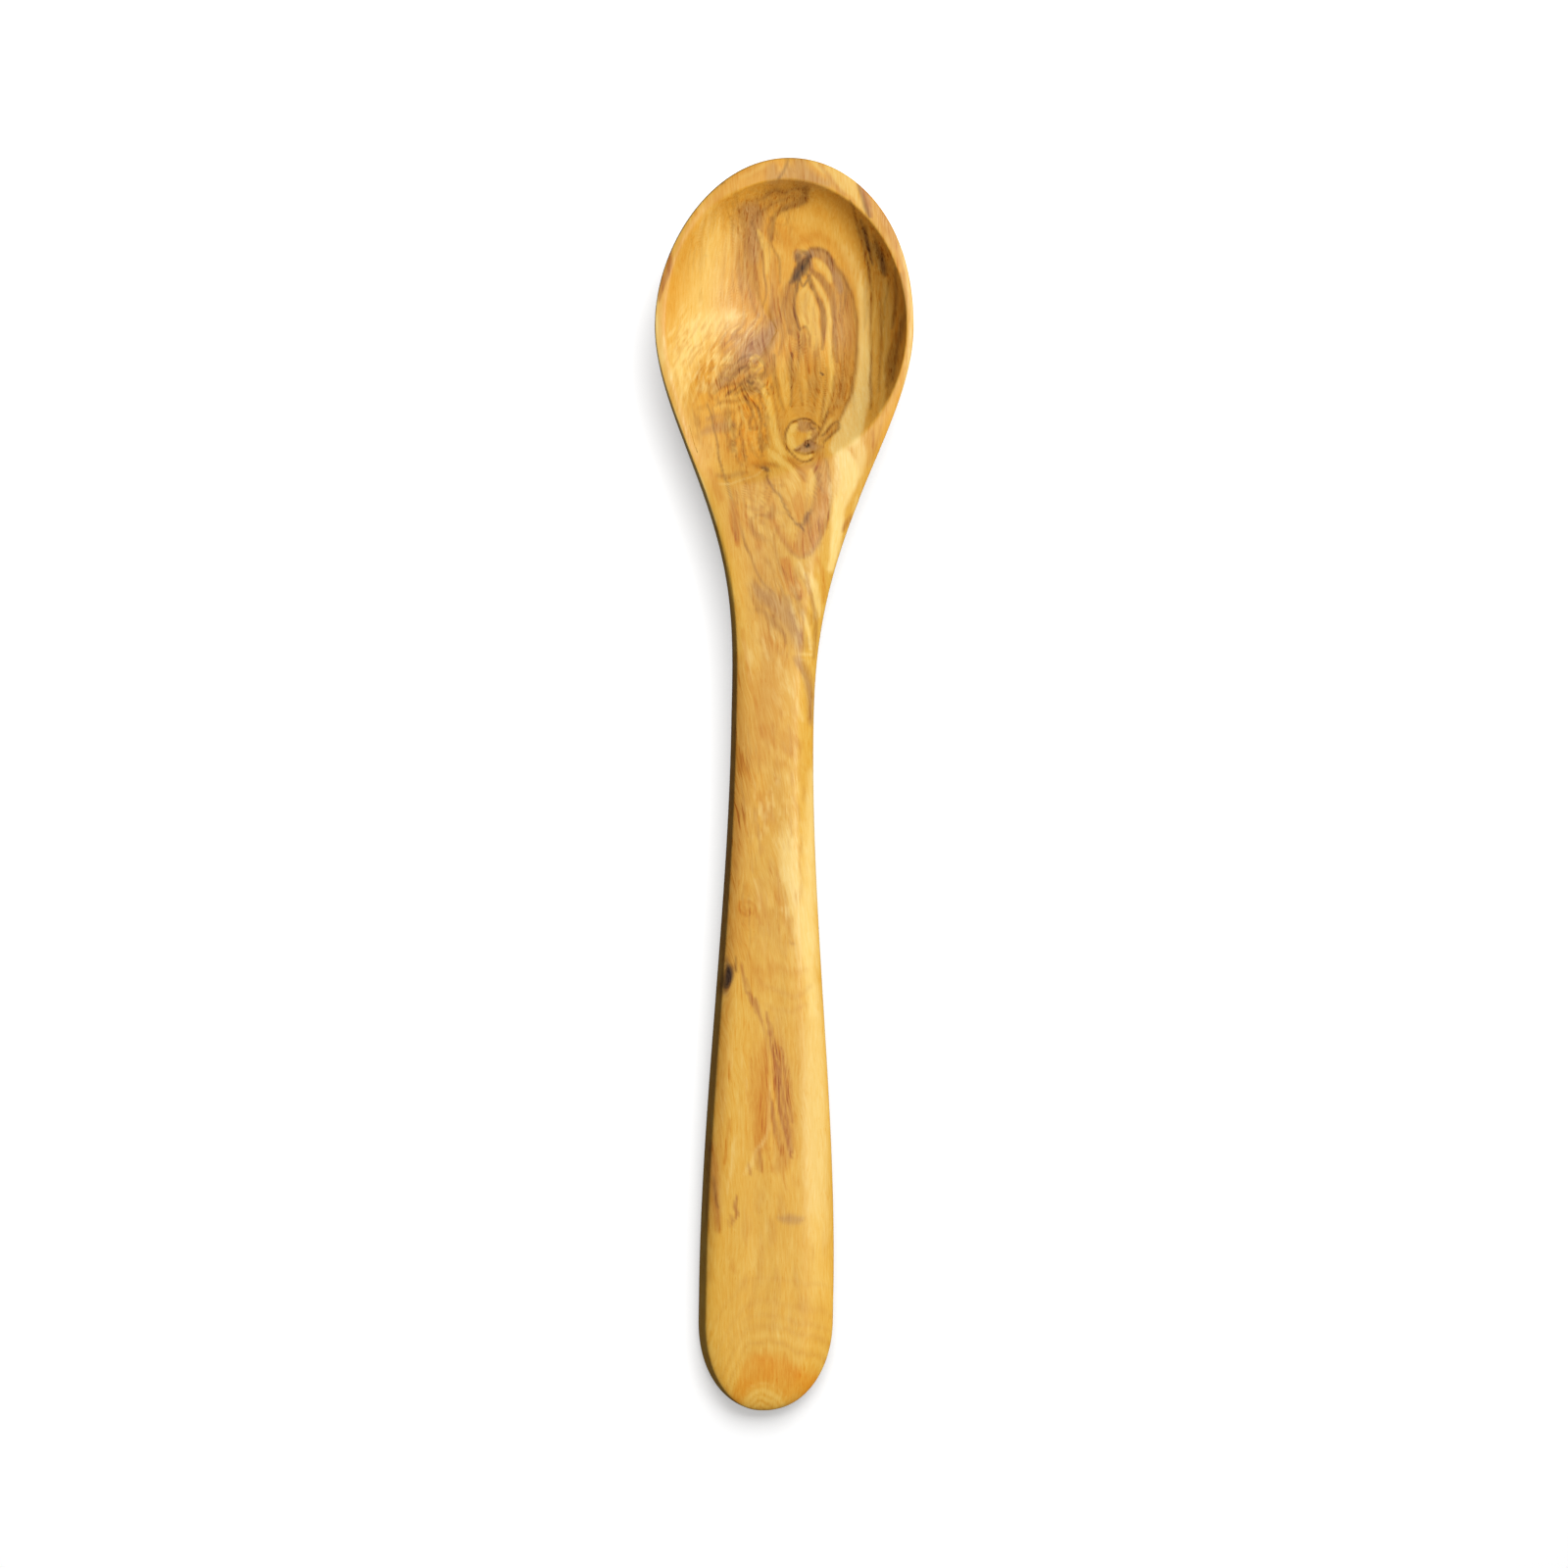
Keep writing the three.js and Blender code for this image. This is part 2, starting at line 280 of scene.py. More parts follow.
# Upper half of the section from its right edge to its left, closer together towards the edges.
def topRow(station, count):
    across = np.cos(np.linspace(0, np.pi, count + 1))
    x = centreX(station) + halfWidth(station) * across
    station = station + 0 * x
    return np.stack([x, station, topOf(x, station)], -1)


# Lower half from the left edge to the right, flat where it meets the table.
def backRow(station, count):
    across = -np.cos(np.linspace(0, np.pi, count + 1))
    x = centreX(station) + halfWidth(station) * across
    edge = topHeight(station) - edgeDrop(station, across < 0)
    z = np.maximum(between(edge, backHeight(station), quarterRound(across, backPower(station))), 0)
    z[..., [0, -1]] = topOf(x, station + 0 * x)[..., [0, -1]]
    return np.stack([x, station + 0 * x, z], -1)


grid = {
    "topAcross": 84,  # spans of a section
    "backAcross": 26,
    "endRows": 40,
    "handleRows": 300,
    "shoulderRows": 80,
    "tipRows": 88,
    "hollowRings": 100,
    "landRings": 22,  # from the hollow's edge to the outline
    "evenRings": 0.6,  # share of even spacing in the hollow, where rings get closer towards the edge
    "edgeSteps": 2000,  # to measure along the hollow's edge
    "neckRight": math.radians(40),  # rays to the two ends of the line across the neck
    "neckLeft": math.radians(-48),
    "weld": 0.001,  # points closer than this become one
}
endStations = spoon["gripEndRound"] * (1 - np.cos(np.linspace(0, np.pi / 2, grid["endRows"], endpoint=False)))
handleStations = np.append(endStations, np.linspace(spoon["gripEndRound"], joinStation, grid["handleRows"]))
shoulderStations = np.linspace(joinStation, bowlStation, grid["shoulderRows"], endpoint=False)
tipTurn = np.linspace(0, np.pi / 2, grid["tipRows"] + 1)
bowlStations = np.append(shoulderStations, bowlStation + spoon["bowlTipReach"] * np.sin(tipTurn))

# Handle: whole sections carried along the stations.
handleTop = topRow(handleStations[:, None], grid["topAcross"])
handleBack = backRow(handleStations[:, None], grid["backAcross"])
handleSkin = np.concatenate([handleTop, handleBack[:, 1:-1]], 1)
bowlBack = backRow(bowlStations[:, None], grid["backAcross"])


# Angles at which the hollow's edge has run given shares of its length.
def edgeAngles(start, end, shares):
    angle = np.linspace(start, end, grid["edgeSteps"])
    reach = sum(hollowReach(angle))
    x, y = reach * np.sin(angle), reach * np.cos(angle)
    run = np.append(0, np.cumsum(np.hypot(np.diff(x), np.diff(y))))
    return np.interp(shares * run[-1], run, angle)


def runShares(points):
    run = np.append(0, np.cumsum(np.linalg.norm(np.diff(points[:, :2], axis=0), axis=1)))
    return run / run[-1]


# Bowl top: rays from the hollow's middle to its edge, then on to the outline or to the line across the neck.
outRight, outLeft = bowlBack[:, -1], bowlBack[:, 0]
neckLine = handleTop[-1][::-1]
neckShares = np.linspace(0, 1, len(neckLine))[1:-1]
outerLoop = np.concatenate([outRight, outLeft[-2::-1], neckLine[1:-1]])[:, :2]
angles = np.concatenate([
    edgeAngles(grid["neckRight"], np.pi, runShares(outRight)),
    edgeAngles(-np.pi, grid["neckLeft"], 1 - runShares(outLeft)[::-1])[1:],
    between(grid["neckLeft"], grid["neckRight"], neckShares),
])
reach = sum(hollowReach(angles))
middle = np.array([centreX(bowlStation), bowlStation])
innerLoop = middle + np.stack([reach * np.sin(angles), -reach * np.cos(angles)], -1)
inTurn = np.linspace(0, np.pi / 2, grid["hollowRings"])
inShares = between(np.sin(inTurn), inTurn / inTurn[-1], grid["evenRings"])[:, None, None]
landShares = np.linspace(0, 1, grid["landRings"] + 1)[1:, None, None]
inside, land = between(middle, innerLoop, inShares), between(innerLoop, outerLoop, landShares)
bowlPlan = np.concatenate([inside, land])
bowlTop = np.concatenate([bowlPlan, topOf(bowlPlan[..., 0], bowlPlan[..., 1])[..., None]], -1)


# Quads over a grid of points, its columns closed into rings or not.
def gridFaces(shape, ring):
    rowCount, columnCount = shape[:2]
    rows = np.arange(rowCount - 1)[:, None]
    columns = np.arange(columnCount if ring else columnCount - 1)[None]
    a = rows * columnCount + columns
    b = rows * columnCount + (columns + 1) % columnCount
    return np.stack([a, b, b + columnCount, a + columnCount], -1).reshape(-1, 4)


# One closed mesh from grids that meet: points that fall together are welded, and normals turned outward.
def meshFromGrids(name, grids):
    points, faces, start = [], [], 0
    for surface, ring in grids:
        points.append(surface.reshape(-1, 3))
        faces.append(gridFaces(surface.shape, ring) + start)
        start += len(points[-1])
    points = np.concatenate(points) * mm - [0, spoon["length"] / 2 * mm, 0]
    mesh = bpy.data.meshes.new(name)
    mesh.from_pydata(points, [], np.concatenate(faces))
    work = bmesh.new()
    work.from_mesh(mesh)
    bmesh.ops.remove_doubles(work, verts=work.verts, dist=grid["weld"] * mm)
    bmesh.ops.recalc_face_normals(work, faces=work.faces)
    work.to_mesh(mesh)
    work.free()
    mesh.shade_smooth()
    made = bpy.data.objects.new(name, mesh)
    bpy.context.collection.objects.link(made)
    return made


carvedSpoon = meshFromGrids("carved_spoon", [(handleSkin, True), (bowlBack, False), (bowlTop, True)])
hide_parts("spoon_body")
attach(carvedSpoon, "root")
print("spoon carved:", len(carvedSpoon.data.vertices), "points")


def linearColour(hexText):
    parts = [int(hexText[i : i + 2], 16) / 255 for i in (1, 3, 5)]
    return [c / 12.92 if c <= 0.04045 else ((c + 0.055) / 1.055) ** 2.4 for c in parts] + [1]


# One node with its settings and links; an input is a value, or the socket that feeds it, and i0, i1 and
# so on are inputs by number.
def addNode(tree, kind, settings=None, **inputs):
    node = tree.nodes.new(kind)
    for name, value in (settings or {}).items():
        setattr(node, name, value)
    for name, value in inputs.items():
        byNumber = name[0] == "i" and name[1:].isdigit()
        socket = node.inputs[int(name[1:]) if byNumber else name]
        if isinstance(value, bpy.types.NodeSocket):
            tree.links.new(value, socket)
        else:
            socket.default_value = value
    return node


# Figure of the wood, drawn on the plan in millimetres: x across, y along from the spoon's middle.
inkHexes = {
    "gold": "#DEA942",
    "honey": "#DC9F39",
    "pale": "#E7B856",
    "straw": "#F3D07C",
    "amber": "#C9811C",
    "orange": "#DA9126",
    "tan": "#C68B39",
    "brown": "#A66F2D",
    "umber": "#845523",
    "dark": "#5C3C27",
    "pith": "#35241A",
    "mauve": "#AF804D",
    "russet": "#AC682A",
}
inks = {name: np.array(linearColour(hexText)) for name, hexText in inkHexes.items()}

# A marking is an ink, its strength, its soft border and a brush path of (x, y, half width).
bowlMarkings = [
    # brown band from the tip down the left of the sapwood
    ("brown", 0.54, 1.5, [(2.5, 143.5, 1.5), (2.5, 141.2, 2), (-2, 140.8, 2.6), (-6, 139, 3),
        (-8, 135.5, 3), (-8, 131, 2.2), (-7, 126, 1.6), (-6, 119, 1.2)]),
    ("brown", 0.35, 1.2, [(-3, 142.4, 1.2), (1.5, 142.6, 1.6), (5.2, 141.8, 1.4), (5.6, 140, 1),
        (2, 138.6, 0.8)]),
    ("mauve", 0.6, 1.4, [(-9, 138, 1.5), (-6.5, 137, 2.2), (-6.2, 132, 2), (-6.3, 127, 1.4)]),
    ("umber", 0.6, 0.7, [(5, 142.6, 0.8), (5, 140.8, 0.9), (2, 139.3, 0.7), (-0.6, 138, 0.6),
        (-2.2, 136, 0.5)]),
    ("umber", 0.45, 0.5, [(4.5, 143.2, 0.5), (1, 142.4, 0.4), (-3, 142.2, 0.4), (-6, 140.5, 0.3)]),
    ("umber", 0.35, 0.5, [(2.5, 141, 0.4), (-2, 140, 0.4), (-5.5, 137.8, 0.4), (-7.3, 134.5, 0.3)]),
    ("tan", 0.55, 1.2, [(-11, 138, 1.5), (-10.5, 133, 2), (-9.5, 126, 2.2), (-7.5, 119, 2),
        (-5, 114.5, 1.5)]),
    ("brown", 0.6, 0.5, [(-2.2, 136, 0.7), (-2.6, 133.6, 0.9), (-2.4, 131.6, 0.6)]),
    ("umber", 0.42, 0.35, [(5.6, 140.2, 0.3), (3.5, 139, 0.35), (0.6, 138.2, 0.35), (-1.4, 136.2, 0.3),
        (-1.9, 133.4, 0.3), (-2.1, 130.6, 0.35), (-1.2, 128.8, 0.35), (0.1, 127.5, 0.35), (0.4, 125, 0.3),
        (0.2, 121.5, 0.25)]),
    ("umber", 0.4, 0.35, [(-7.4, 135, 0.25), (-6.3, 133.4, 0.35), (-5.7, 131.4, 0.4), (-4.5, 129.9, 0.4),
        (-4.1, 127, 0.4), (-3.8, 124, 0.35), (-3.4, 121.4, 0.3), (-3, 118.6, 0.25), (-3.6, 115.5, 0.2)]),
    ("pale", 0.8, 0.4, [(-5.5, 133.3, 0.3), (-4.4, 131.2, 0.8), (-3.2, 129, 0.9), (-2.8, 126.4, 0.9),
        (-2.9, 123.6, 0.4)]),
    ("tan", 0.6, 0.6, [(-0.9, 127.4, 0.6), (-1.3, 124, 0.8), (-1.2, 119, 0.9), (-1.3, 114, 0.9),
        (-1, 110.5, 0.6)]),
    ("brown", 0.4, 0.5, [(-8.6, 130, 0.3), (-8.2, 123, 0.35), (-6.6, 117.5, 0.35), (-4.4, 113, 0.3)]),
    ("brown", 0.35, 0.5, [(-6.4, 126, 0.3), (-5.6, 120.5, 0.35), (-4, 116, 0.3), (-2.6, 112, 0.3)]),
    ("brown", 0.35, 0.5, [(-1.8, 121, 0.25), (-1.6, 116, 0.3), (-1.4, 112, 0.25)]),
    ("pale", 0.5, 0.4, [(-13, 135, 0.3), (-12.7, 128, 0.35), (-12.9, 119, 0.3)]),
    ("pale", 0.4, 0.4, [(-15.2, 133, 0.25), (-15, 126, 0.35), (-15.3, 118, 0.3)]),
    ("tan", 0.35, 0.5, [(-14, 134, 0.3), (-13.9, 126, 0.3), (-14.1, 118, 0.3)]),
    ("amber", 0.35, 1.2, [(-20, 131, 0.6), (-20.2, 126, 0.9), (-20, 121, 0.6)]),
    ("amber", 0.3, 1.2, [(-16, 139, 1), (-14.5, 137, 1.2), (-15, 134.5, 0.6)]),
    ("umber", 0.7, 0.25, [(-18.6, 127.2, 0.2), (-18, 127, 0.3)]),
    # clean sapwood with its faint rings round the knot
    ("pale", 0.4, 1.6, [(2, 136.5, 1), (6, 135.8, 1.4), (11, 134, 1.5), (15, 130.5, 1.2), (17.5, 126, 1)]),
    ("amber", 0.35, 1, [(-0.5, 134.5, 0.8), (1.5, 131, 1.5), (5, 131.8, 1), (9.5, 132, 0.9),
        (14, 129, 0.9), (17, 124.5, 0.8)]),
    ("pale", 0.35, 0.8, [(-0.3, 130, 0.7), (1.2, 127.6, 0.8), (1.6, 124.6, 0.6)]),
    # heartwood island
    ("tan", 0.75, 0.7, [(12.4, 126, 1.2), (15, 121.8, 2.1), (16.2, 116.5, 2.7), (16.6, 110, 2.7),
        (16.4, 104, 2.8), (15.4, 98, 3.1), (13.8, 93, 3), (12, 88.5, 2.3), (10.6, 85, 1.5)]),
    ("tan", 0.45, 0.9, [(2.6, 120.4, 1), (2.6, 116, 1.7), (3, 111.5, 2), (5, 107, 3.6), (6.5, 102, 4.8),
        (6.7, 97, 4.6), (6.6, 92.5, 3.8), (6.5, 89.5, 2.6)]),
    ("brown", 0.5, 0.6, [(13.4, 124.8, 0.6), (15.8, 121, 0.9), (17.2, 116, 0.9), (17.6, 110, 0.9),
        (17.3, 104, 0.9), (16, 97.5, 0.9), (14, 92, 0.8)]),
    ("umber", 0.6, 0.35, [(13.4, 126.6, 0.25), (15.8, 122.6, 0.3), (17.9, 118.5, 0.35), (19, 113.5, 0.35),
        (19.2, 107, 0.35), (18.7, 100.5, 0.35), (17.2, 95, 0.35), (15, 90, 0.3), (13.4, 86.8, 0.25)]),
    ("brown", 0.55, 0.4, [(14.6, 121.5, 0.3), (15.4, 116, 0.3), (15.7, 109, 0.3), (15.4, 102, 0.3),
        (14.2, 95, 0.3), (12.4, 90, 0.3)]),
    ("mauve", 0.75, 0.5, [(7.4, 128.4, 1), (9.2, 128.4, 1.1), (11.2, 127.2, 1.2), (12.8, 125.2, 1),
        (14.2, 122.6, 0.9), (15, 119.5, 0.7)]),
    ("umber", 0.5, 0.4, [(7.2, 129.4, 0.4), (9.3, 129.3, 0.4), (11.4, 128.3, 0.4), (13, 126.2, 0.3)]),
    ("mauve", 0.85, 0.5, [(4, 128.3, 0.7), (4.6, 126.8, 0.9), (6.2, 127.6, 1), (7.6, 128.2, 0.9)]),
    ("dark", 0.9, 0.5, [(7, 127.2, 0.7), (6.1, 125.6, 1.3), (5, 124, 1.3), (3.9, 122.3, 0.8),
        (3, 121.2, 0.3)]),
    ("dark", 0.65, 0.4, [(4.4, 127.4, 0.6), (4.6, 125.8, 0.5), (5.4, 124.6, 0.4)]),
    ("dark", 0.55, 0.4, [(5, 128.5, 0.4), (6.2, 128.3, 0.6), (7, 127.6, 0.5)]),
    ("pith", 0.75, 0.4, [(6.6, 126.4, 0.35), (5.6, 124.8, 0.45), (4.6, 123.3, 0.4), (3.8, 122.2, 0.2)]),
    ("mauve", 0.6, 0.4, [(7.4, 126.4, 0.5), (7.6, 124.6, 0.6), (7, 122.8, 0.3)]),
    ("dark", 0.6, 0.25, [(5.1, 122.9, 0.25), (4.6, 121.4, 0.25), (4.4, 119.6, 0.2)]),
    ("dark", 0.55, 0.25, [(6.4, 123.4, 0.25), (7.2, 121.6, 0.25), (8, 120, 0.2)]),
    ("pale", 0.9, 0.4, [(8.9, 126.5, 0.4), (10.6, 125.1, 0.8), (12.2, 123.8, 0.7), (12.9, 122, 0.3)]),
    ("brown", 0.8, 0.4, [(7.6, 124.2, 0.6), (9.2, 123.2, 0.75), (11.2, 121.8, 0.8), (12.7, 119.6, 0.8),
        (13.4, 116.5, 0.75), (13.7, 112.5, 0.65), (13.9, 108, 0.5), (14.2, 103, 0.4)]),
    ("pale", 0.95, 0.3, [(8.2, 122.7, 0.25), (9.7, 121, 0.45), (11.2, 118.8, 0.5), (12.1, 116, 0.5),
        (12.4, 112.5, 0.5), (12.4, 108.5, 0.5), (12.7, 104, 0.55), (13, 99.5, 0.5), (12.7, 95.5, 0.3)]),
    ("umber", 0.75, 0.4, [(7.1, 122.9, 0.4), (8.2, 120.8, 0.5), (9.5, 118.5, 0.6), (10.5, 116, 0.7),
        (11, 112.8, 0.7), (11.1, 109, 0.5), (11, 105.5, 0.25)]),
    ("pale", 0.8, 0.4, [(6.2, 120.6, 0.5), (6.6, 118, 1.6), (7.4, 115, 2.1), (7.7, 112.4, 1.9),
        (8.9, 110, 1.1), (9.3, 107.6, 0.7), (9, 106, 0.3)]),
    ("tan", 0.6, 0.3, [(6.4, 119, 0.2), (6.7, 115, 0.35), (7.2, 111.6, 0.25)]),
    ("tan", 0.5, 0.3, [(8.2, 116, 0.2), (8.8, 113, 0.3), (9.2, 109.6, 0.25)]),
    ("brown", 0.4, 1, [(3.2, 121.4, 0.5), (1.4, 118.6, 1.2), (-0.4, 114.6, 1.8), (-1.8, 110, 2),
        (-2.8, 106, 1.5)]),
    ("brown", 0.5, 0.5, [(3.7, 120.4, 0.4), (3.1, 117, 0.8), (3.2, 113.6, 1), (4, 110.6, 0.7)]),
    ("umber", 0.8, 0.35, [(4.3, 121, 0.4), (4.1, 117.5, 0.35), (4.5, 114.3, 0.4), (5, 111.6, 0.4),
        (5.6, 110, 0.3)]),
    ("brown", 0.7, 0.35, [(2.9, 120.4, 0.4), (2.1, 117.6, 0.3), (1.7, 114.6, 0.35), (2.3, 111.6, 0.3),
        (2.9, 109, 0.25)]),
    ("brown", 0.6, 0.35, [(1.4, 117.8, 0.25), (0.6, 113, 0.35), (1.2, 108.4, 0.35), (0.5, 104.5, 0.3)]),
    ("dark", 0.7, 0.25, [(5.1, 122.2, 0.25), (5.4, 121.2, 0.25), (6, 120.9, 0.25), (6.6, 122, 0.25)]),
    ("umber", 0.45, 0.35, [(5.9, 110.3, 0.3), (7, 110.6, 0.35), (7.7, 109, 0.3), (7.8, 106.5, 0.25)]),
    ("amber", 0.55, 0.9, [(4.2, 108.5, 1), (4.6, 105, 1.3), (7, 103.5, 1.4), (7, 100, 1.2)]),
    ("brown", 0.55, 0.6, [(2.8, 109.8, 0.6), (4.6, 109, 1.1), (6, 107.8, 1.1), (5, 105.8, 0.9)]),
    ("umber", 0.28, 0.3, [(5.2, 108.5, 0.25), (5.3, 103, 0.3), (5.2, 97, 0.3), (5.4, 92, 0.25)]),
    ("umber", 0.25, 0.3, [(7.4, 105.5, 0.25), (7.3, 100, 0.3), (7.5, 94.5, 0.25)]),
    ("umber", 0.28, 0.3, [(9.4, 105, 0.25), (9.2, 99.5, 0.3), (8.7, 94, 0.3), (8.2, 90.5, 0.25)]),
    ("umber", 0.35, 0.3, [(11.8, 101, 0.3), (11.4, 96, 0.35), (10.7, 91.5, 0.35), (9.8, 88, 0.3)]),
    ("umber", 0.35, 0.3, [(13.6, 99, 0.3), (12.9, 94.5, 0.3), (11.6, 90.5, 0.3), (10.6, 87.5, 0.25)]),
    ("pale", 0.5, 0.35, [(6.2, 104, 0.25), (6.3, 99, 0.3), (6.3, 94, 0.3), (6.2, 91, 0.2)]),
    ("pale", 0.45, 0.35, [(12.4, 95, 0.3), (11.3, 91, 0.4), (10.3, 88.4, 0.3)]),
    ("dark", 0.8, 0.25, [(10.3, 99.9, 0.25), (10.8, 99.4, 0.3)]),
    ("umber", 0.6, 0.3, [(3.4, 104.5, 0.3), (3.1, 100, 0.35), (3.1, 95.5, 0.35), (2.7, 91.5, 0.3)]),
    ("honey", 0.95, 0.35, [(1.6, 104.2, 0.3), (1.2, 101.5, 1), (1.3, 98.5, 1.4), (1.5, 95, 1.35),
        (1.8, 92.4, 0.7), (1.8, 90.8, 0.2)]),
    ("pale", 0.65, 0.4, [(1.5, 103, 0.3), (1.2, 99, 0.9), (1.4, 95, 0.8), (1.7, 92.4, 0.3)]),
    ("umber", 0.5, 0.5, [(-0.9, 104, 0.6), (-0.9, 101, 0.6), (-0.5, 97.5, 0.5), (0, 94, 0.35),
        (0.9, 90.8, 0.25)]),
    # right side of the floor and the wall above it
    ("straw", 0.4, 1.4, [(15.4, 130, 0.4), (17.4, 126.6, 0.9), (18.8, 123, 1), (19.8, 119, 0.7)]),
    ("straw", 0.75, 0.6, [(19.7, 124.5, 0.2), (20.2, 121.5, 0.8), (20.7, 117, 1.1), (20.9, 110, 1.2),
        (20.8, 103, 1.4), (20, 96.5, 1.8), (18.6, 91.5, 2.3), (17, 87.5, 2.7), (15.2, 84, 2.6),
        (13, 81.6, 1.6)]),
    ("tan", 0.1, 0.4, [(17.2, 138, 0.6), (19.6, 133.5, 1.2), (21.8, 128.5, 1.7), (23.8, 123, 2.1),
        (25.3, 116.5, 2.8), (25.8, 110, 3), (25.6, 103, 2.9), (24.6, 96.5, 2.3), (23.3, 91.5, 1.5),
        (22.2, 88, 0.8)]),
    ("umber", 0.1, 0.6, [(19.6, 136, 0.4), (22, 132.5, 0.7), (24.6, 128, 0.8), (26.6, 121.5, 1),
        (27.8, 114, 1.2), (27.8, 106, 1.2), (26.8, 99, 1.1), (25, 93, 0.8), (23.6, 89.5, 0.4)]),
    ("pale", 0.8, 0.4, [(25.2, 122.4, 0.5), (25.9, 117, 1.1), (25.9, 112, 1), (25.7, 107, 0.6),
        (25.2, 101, 0.5), (24.2, 94.6, 0.4), (23.4, 90.6, 0.2)]),
    ("umber", 0.55, 0.3, [(14.8, 140, 0.2), (17, 136.6, 0.3), (18.9, 132, 0.35), (20.4, 127.6, 0.35),
        (21.6, 123, 0.35), (22.3, 117, 0.35), (22.4, 110, 0.35), (22.3, 103, 0.35), (21.9, 97, 0.35),
        (21.6, 91, 0.3)]),
    ("umber", 0.4, 0.3, [(24.3, 118, 0.2), (24.6, 109, 0.3), (24.4, 102, 0.3), (23.4, 95.5, 0.2)]),
    ("pale", 0.4, 0.6, [(22.8, 121, 0.3), (23.4, 112, 0.6), (23.3, 104, 0.6), (22.6, 97, 0.3)]),
    ("dark", 0.7, 0.6, [(19.2, 133.6, 0.4), (20.3, 131.2, 0.6), (20.9, 129.3, 0.4)]),
    ("dark", 0.7, 0.6, [(21.6, 130.6, 0.4), (23, 127.8, 0.6), (24.6, 124.6, 0.7), (25.1, 123.4, 0.3)]),
    ("dark", 0.75, 0.4, [(18, 136.2, 0.2), (19.8, 132.4, 0.35), (21.2, 128.8, 0.3), (22, 126, 0.2)]),
    ("dark", 0.5, 0.4, [(21.2, 132.4, 0.2), (23, 128.9, 0.35), (24.8, 125, 0.3)]),
    ("dark", 0.45, 0.4, [(26.6, 124.6, 0.2), (27.3, 119, 0.35), (27.4, 114, 0.35), (26.9, 110.6, 0.2)]),
    ("dark", 0.45, 0.4, [(27.8, 123, 0.2), (28.8, 116, 0.35), (28.6, 109.5, 0.4), (27.4, 102.8, 0.4),
        (26.4, 98, 0.2)]),
    ("umber", 0.4, 0.6, [(27.8, 109, 0.5), (27.2, 105, 0.9), (26.4, 100.6, 0.7), (25.4, 96.6, 0.3)]),
    ("pale", 0.45, 0.3, [(20.6, 132.8, 0.2), (22.2, 129, 0.35), (23.4, 125.4, 0.3), (24, 122, 0.2)]),
    # rim round the tip
    ("mauve", 0.45, 1, [(-4, 147.5, 1.4), (-3.6, 145.2, 1.6), (0, 146, 1.6)]),
    ("umber", 0.7, 0.35, [(-2.3, 144.9, 0.3), (-1.1, 146.6, 0.35), (-0.3, 148.2, 0.35), (0, 150, 0.3)]),
    ("mauve", 0.5, 1.2, [(2.6, 149, 1.5), (3.2, 146.6, 1.9), (6, 145, 1.5), (9.5, 144.3, 0.9)]),
    ("pale", 0.85, 0.4, [(5.6, 149.2, 0.3), (7.4, 148, 0.7), (8.8, 147, 0.4)]),
    ("tan", 0.6, 0.5, [(7.6, 148.6, 0.4), (9.6, 146.4, 0.6), (11.6, 144.2, 0.8), (13.4, 141.8, 0.7)]),
    ("pale", 0.9, 0.5, [(9.6, 148.2, 0.6), (12, 146, 1.3), (15, 143.4, 1.8), (17.4, 140.5, 1),
        (18.6, 138.3, 0.5)]),
    ("russet", 0.75, 0.45, [(17.5, 144.6, 0.4), (18.6, 142, 0.8), (19.4, 139, 0.7), (20, 136.6, 0.4)]),
    ("umber", 0.7, 0.35, [(16.9, 144.4, 0.2), (17.8, 141.6, 0.4), (18.8, 138.6, 0.5), (19.7, 136.4, 0.3)]),
    ("tan", 0.55, 0.9, [(20.6, 142.6, 0.9), (22.3, 138.6, 1.4), (24.2, 134.2, 1), (26, 130, 0.7)]),
    ("tan", 0.5, 0.5, [(21.6, 141, 0.4), (24.4, 136, 0.5), (27, 130, 0.5), (28.6, 123.5, 0.5),
        (29.4, 116, 0.4)]),
    # painted light on the left rim's outer wall, which faces away from the lamp
    ("straw", 0.4, 0.9, [(-29.6, 121, 0.4), (-30.6, 113, 0.8), (-30.4, 106, 1), (-29.6, 98, 1),
        (-27.6, 90, 0.9), (-24, 82, 0.6)]),
    # painted highlight on the right rim's outer bevel, which faces the lamp
    ("straw", 0.7, 0.7, [(27, 132, 0.3), (29.4, 123, 0.4), (30.6, 114, 0.5), (30.6, 105, 0.5),
        (29.4, 96, 0.4), (27.4, 89, 0.3)]),
    ("pale", 0.7, 1.2, [(-14, 144.8, 0.8), (-20, 140.6, 1), (-25, 134, 1), (-28.4, 127, 0.6)]),
    ("amber", 0.35, 1, [(-18, 142.2, 1), (-13, 145, 1.2), (-8, 146.7, 1), (-5.5, 147, 0.6)]),
    ("pale", 0.5, 0.5, [(-11, 144.6, 0.4), (-9, 146, 0.5), (-6, 148, 0.4)]),
    ("umber", 0.7, 0.3, [(-16, 143, 0.25), (-15.6, 143, 0.35)]),
    ("russet", 0.8, 0.4, [(-27.8, 127, 0.4), (-28, 124, 0.7), (-28.8, 121.5, 0.7), (-29.8, 118.5, 0.7),
        (-30.6, 115.5, 0.4)]),
    # painted light along the bowl's left outline, lifting the shaded wall below it
    ("straw", 0.9, 0.5, [(-30.9, 116, 0.1), (-31.2, 110, 0.3), (-30.9, 104.9, 0.3), (-29.6, 98.7, 0.3),
        (-27.8, 93.1, 0.3), (-25.5, 86.9, 0.3), (-22.9, 80.8, 0.3), (-20.6, 75.2, 0.3), (-18.2, 69, 0.3),
        (-16.1, 63, 0.1)]),
    # left side: a pale wash, partly the wood's own colour and partly painted light where the left wall faces
    # the lamp; across its middle a painted highlight, the glint
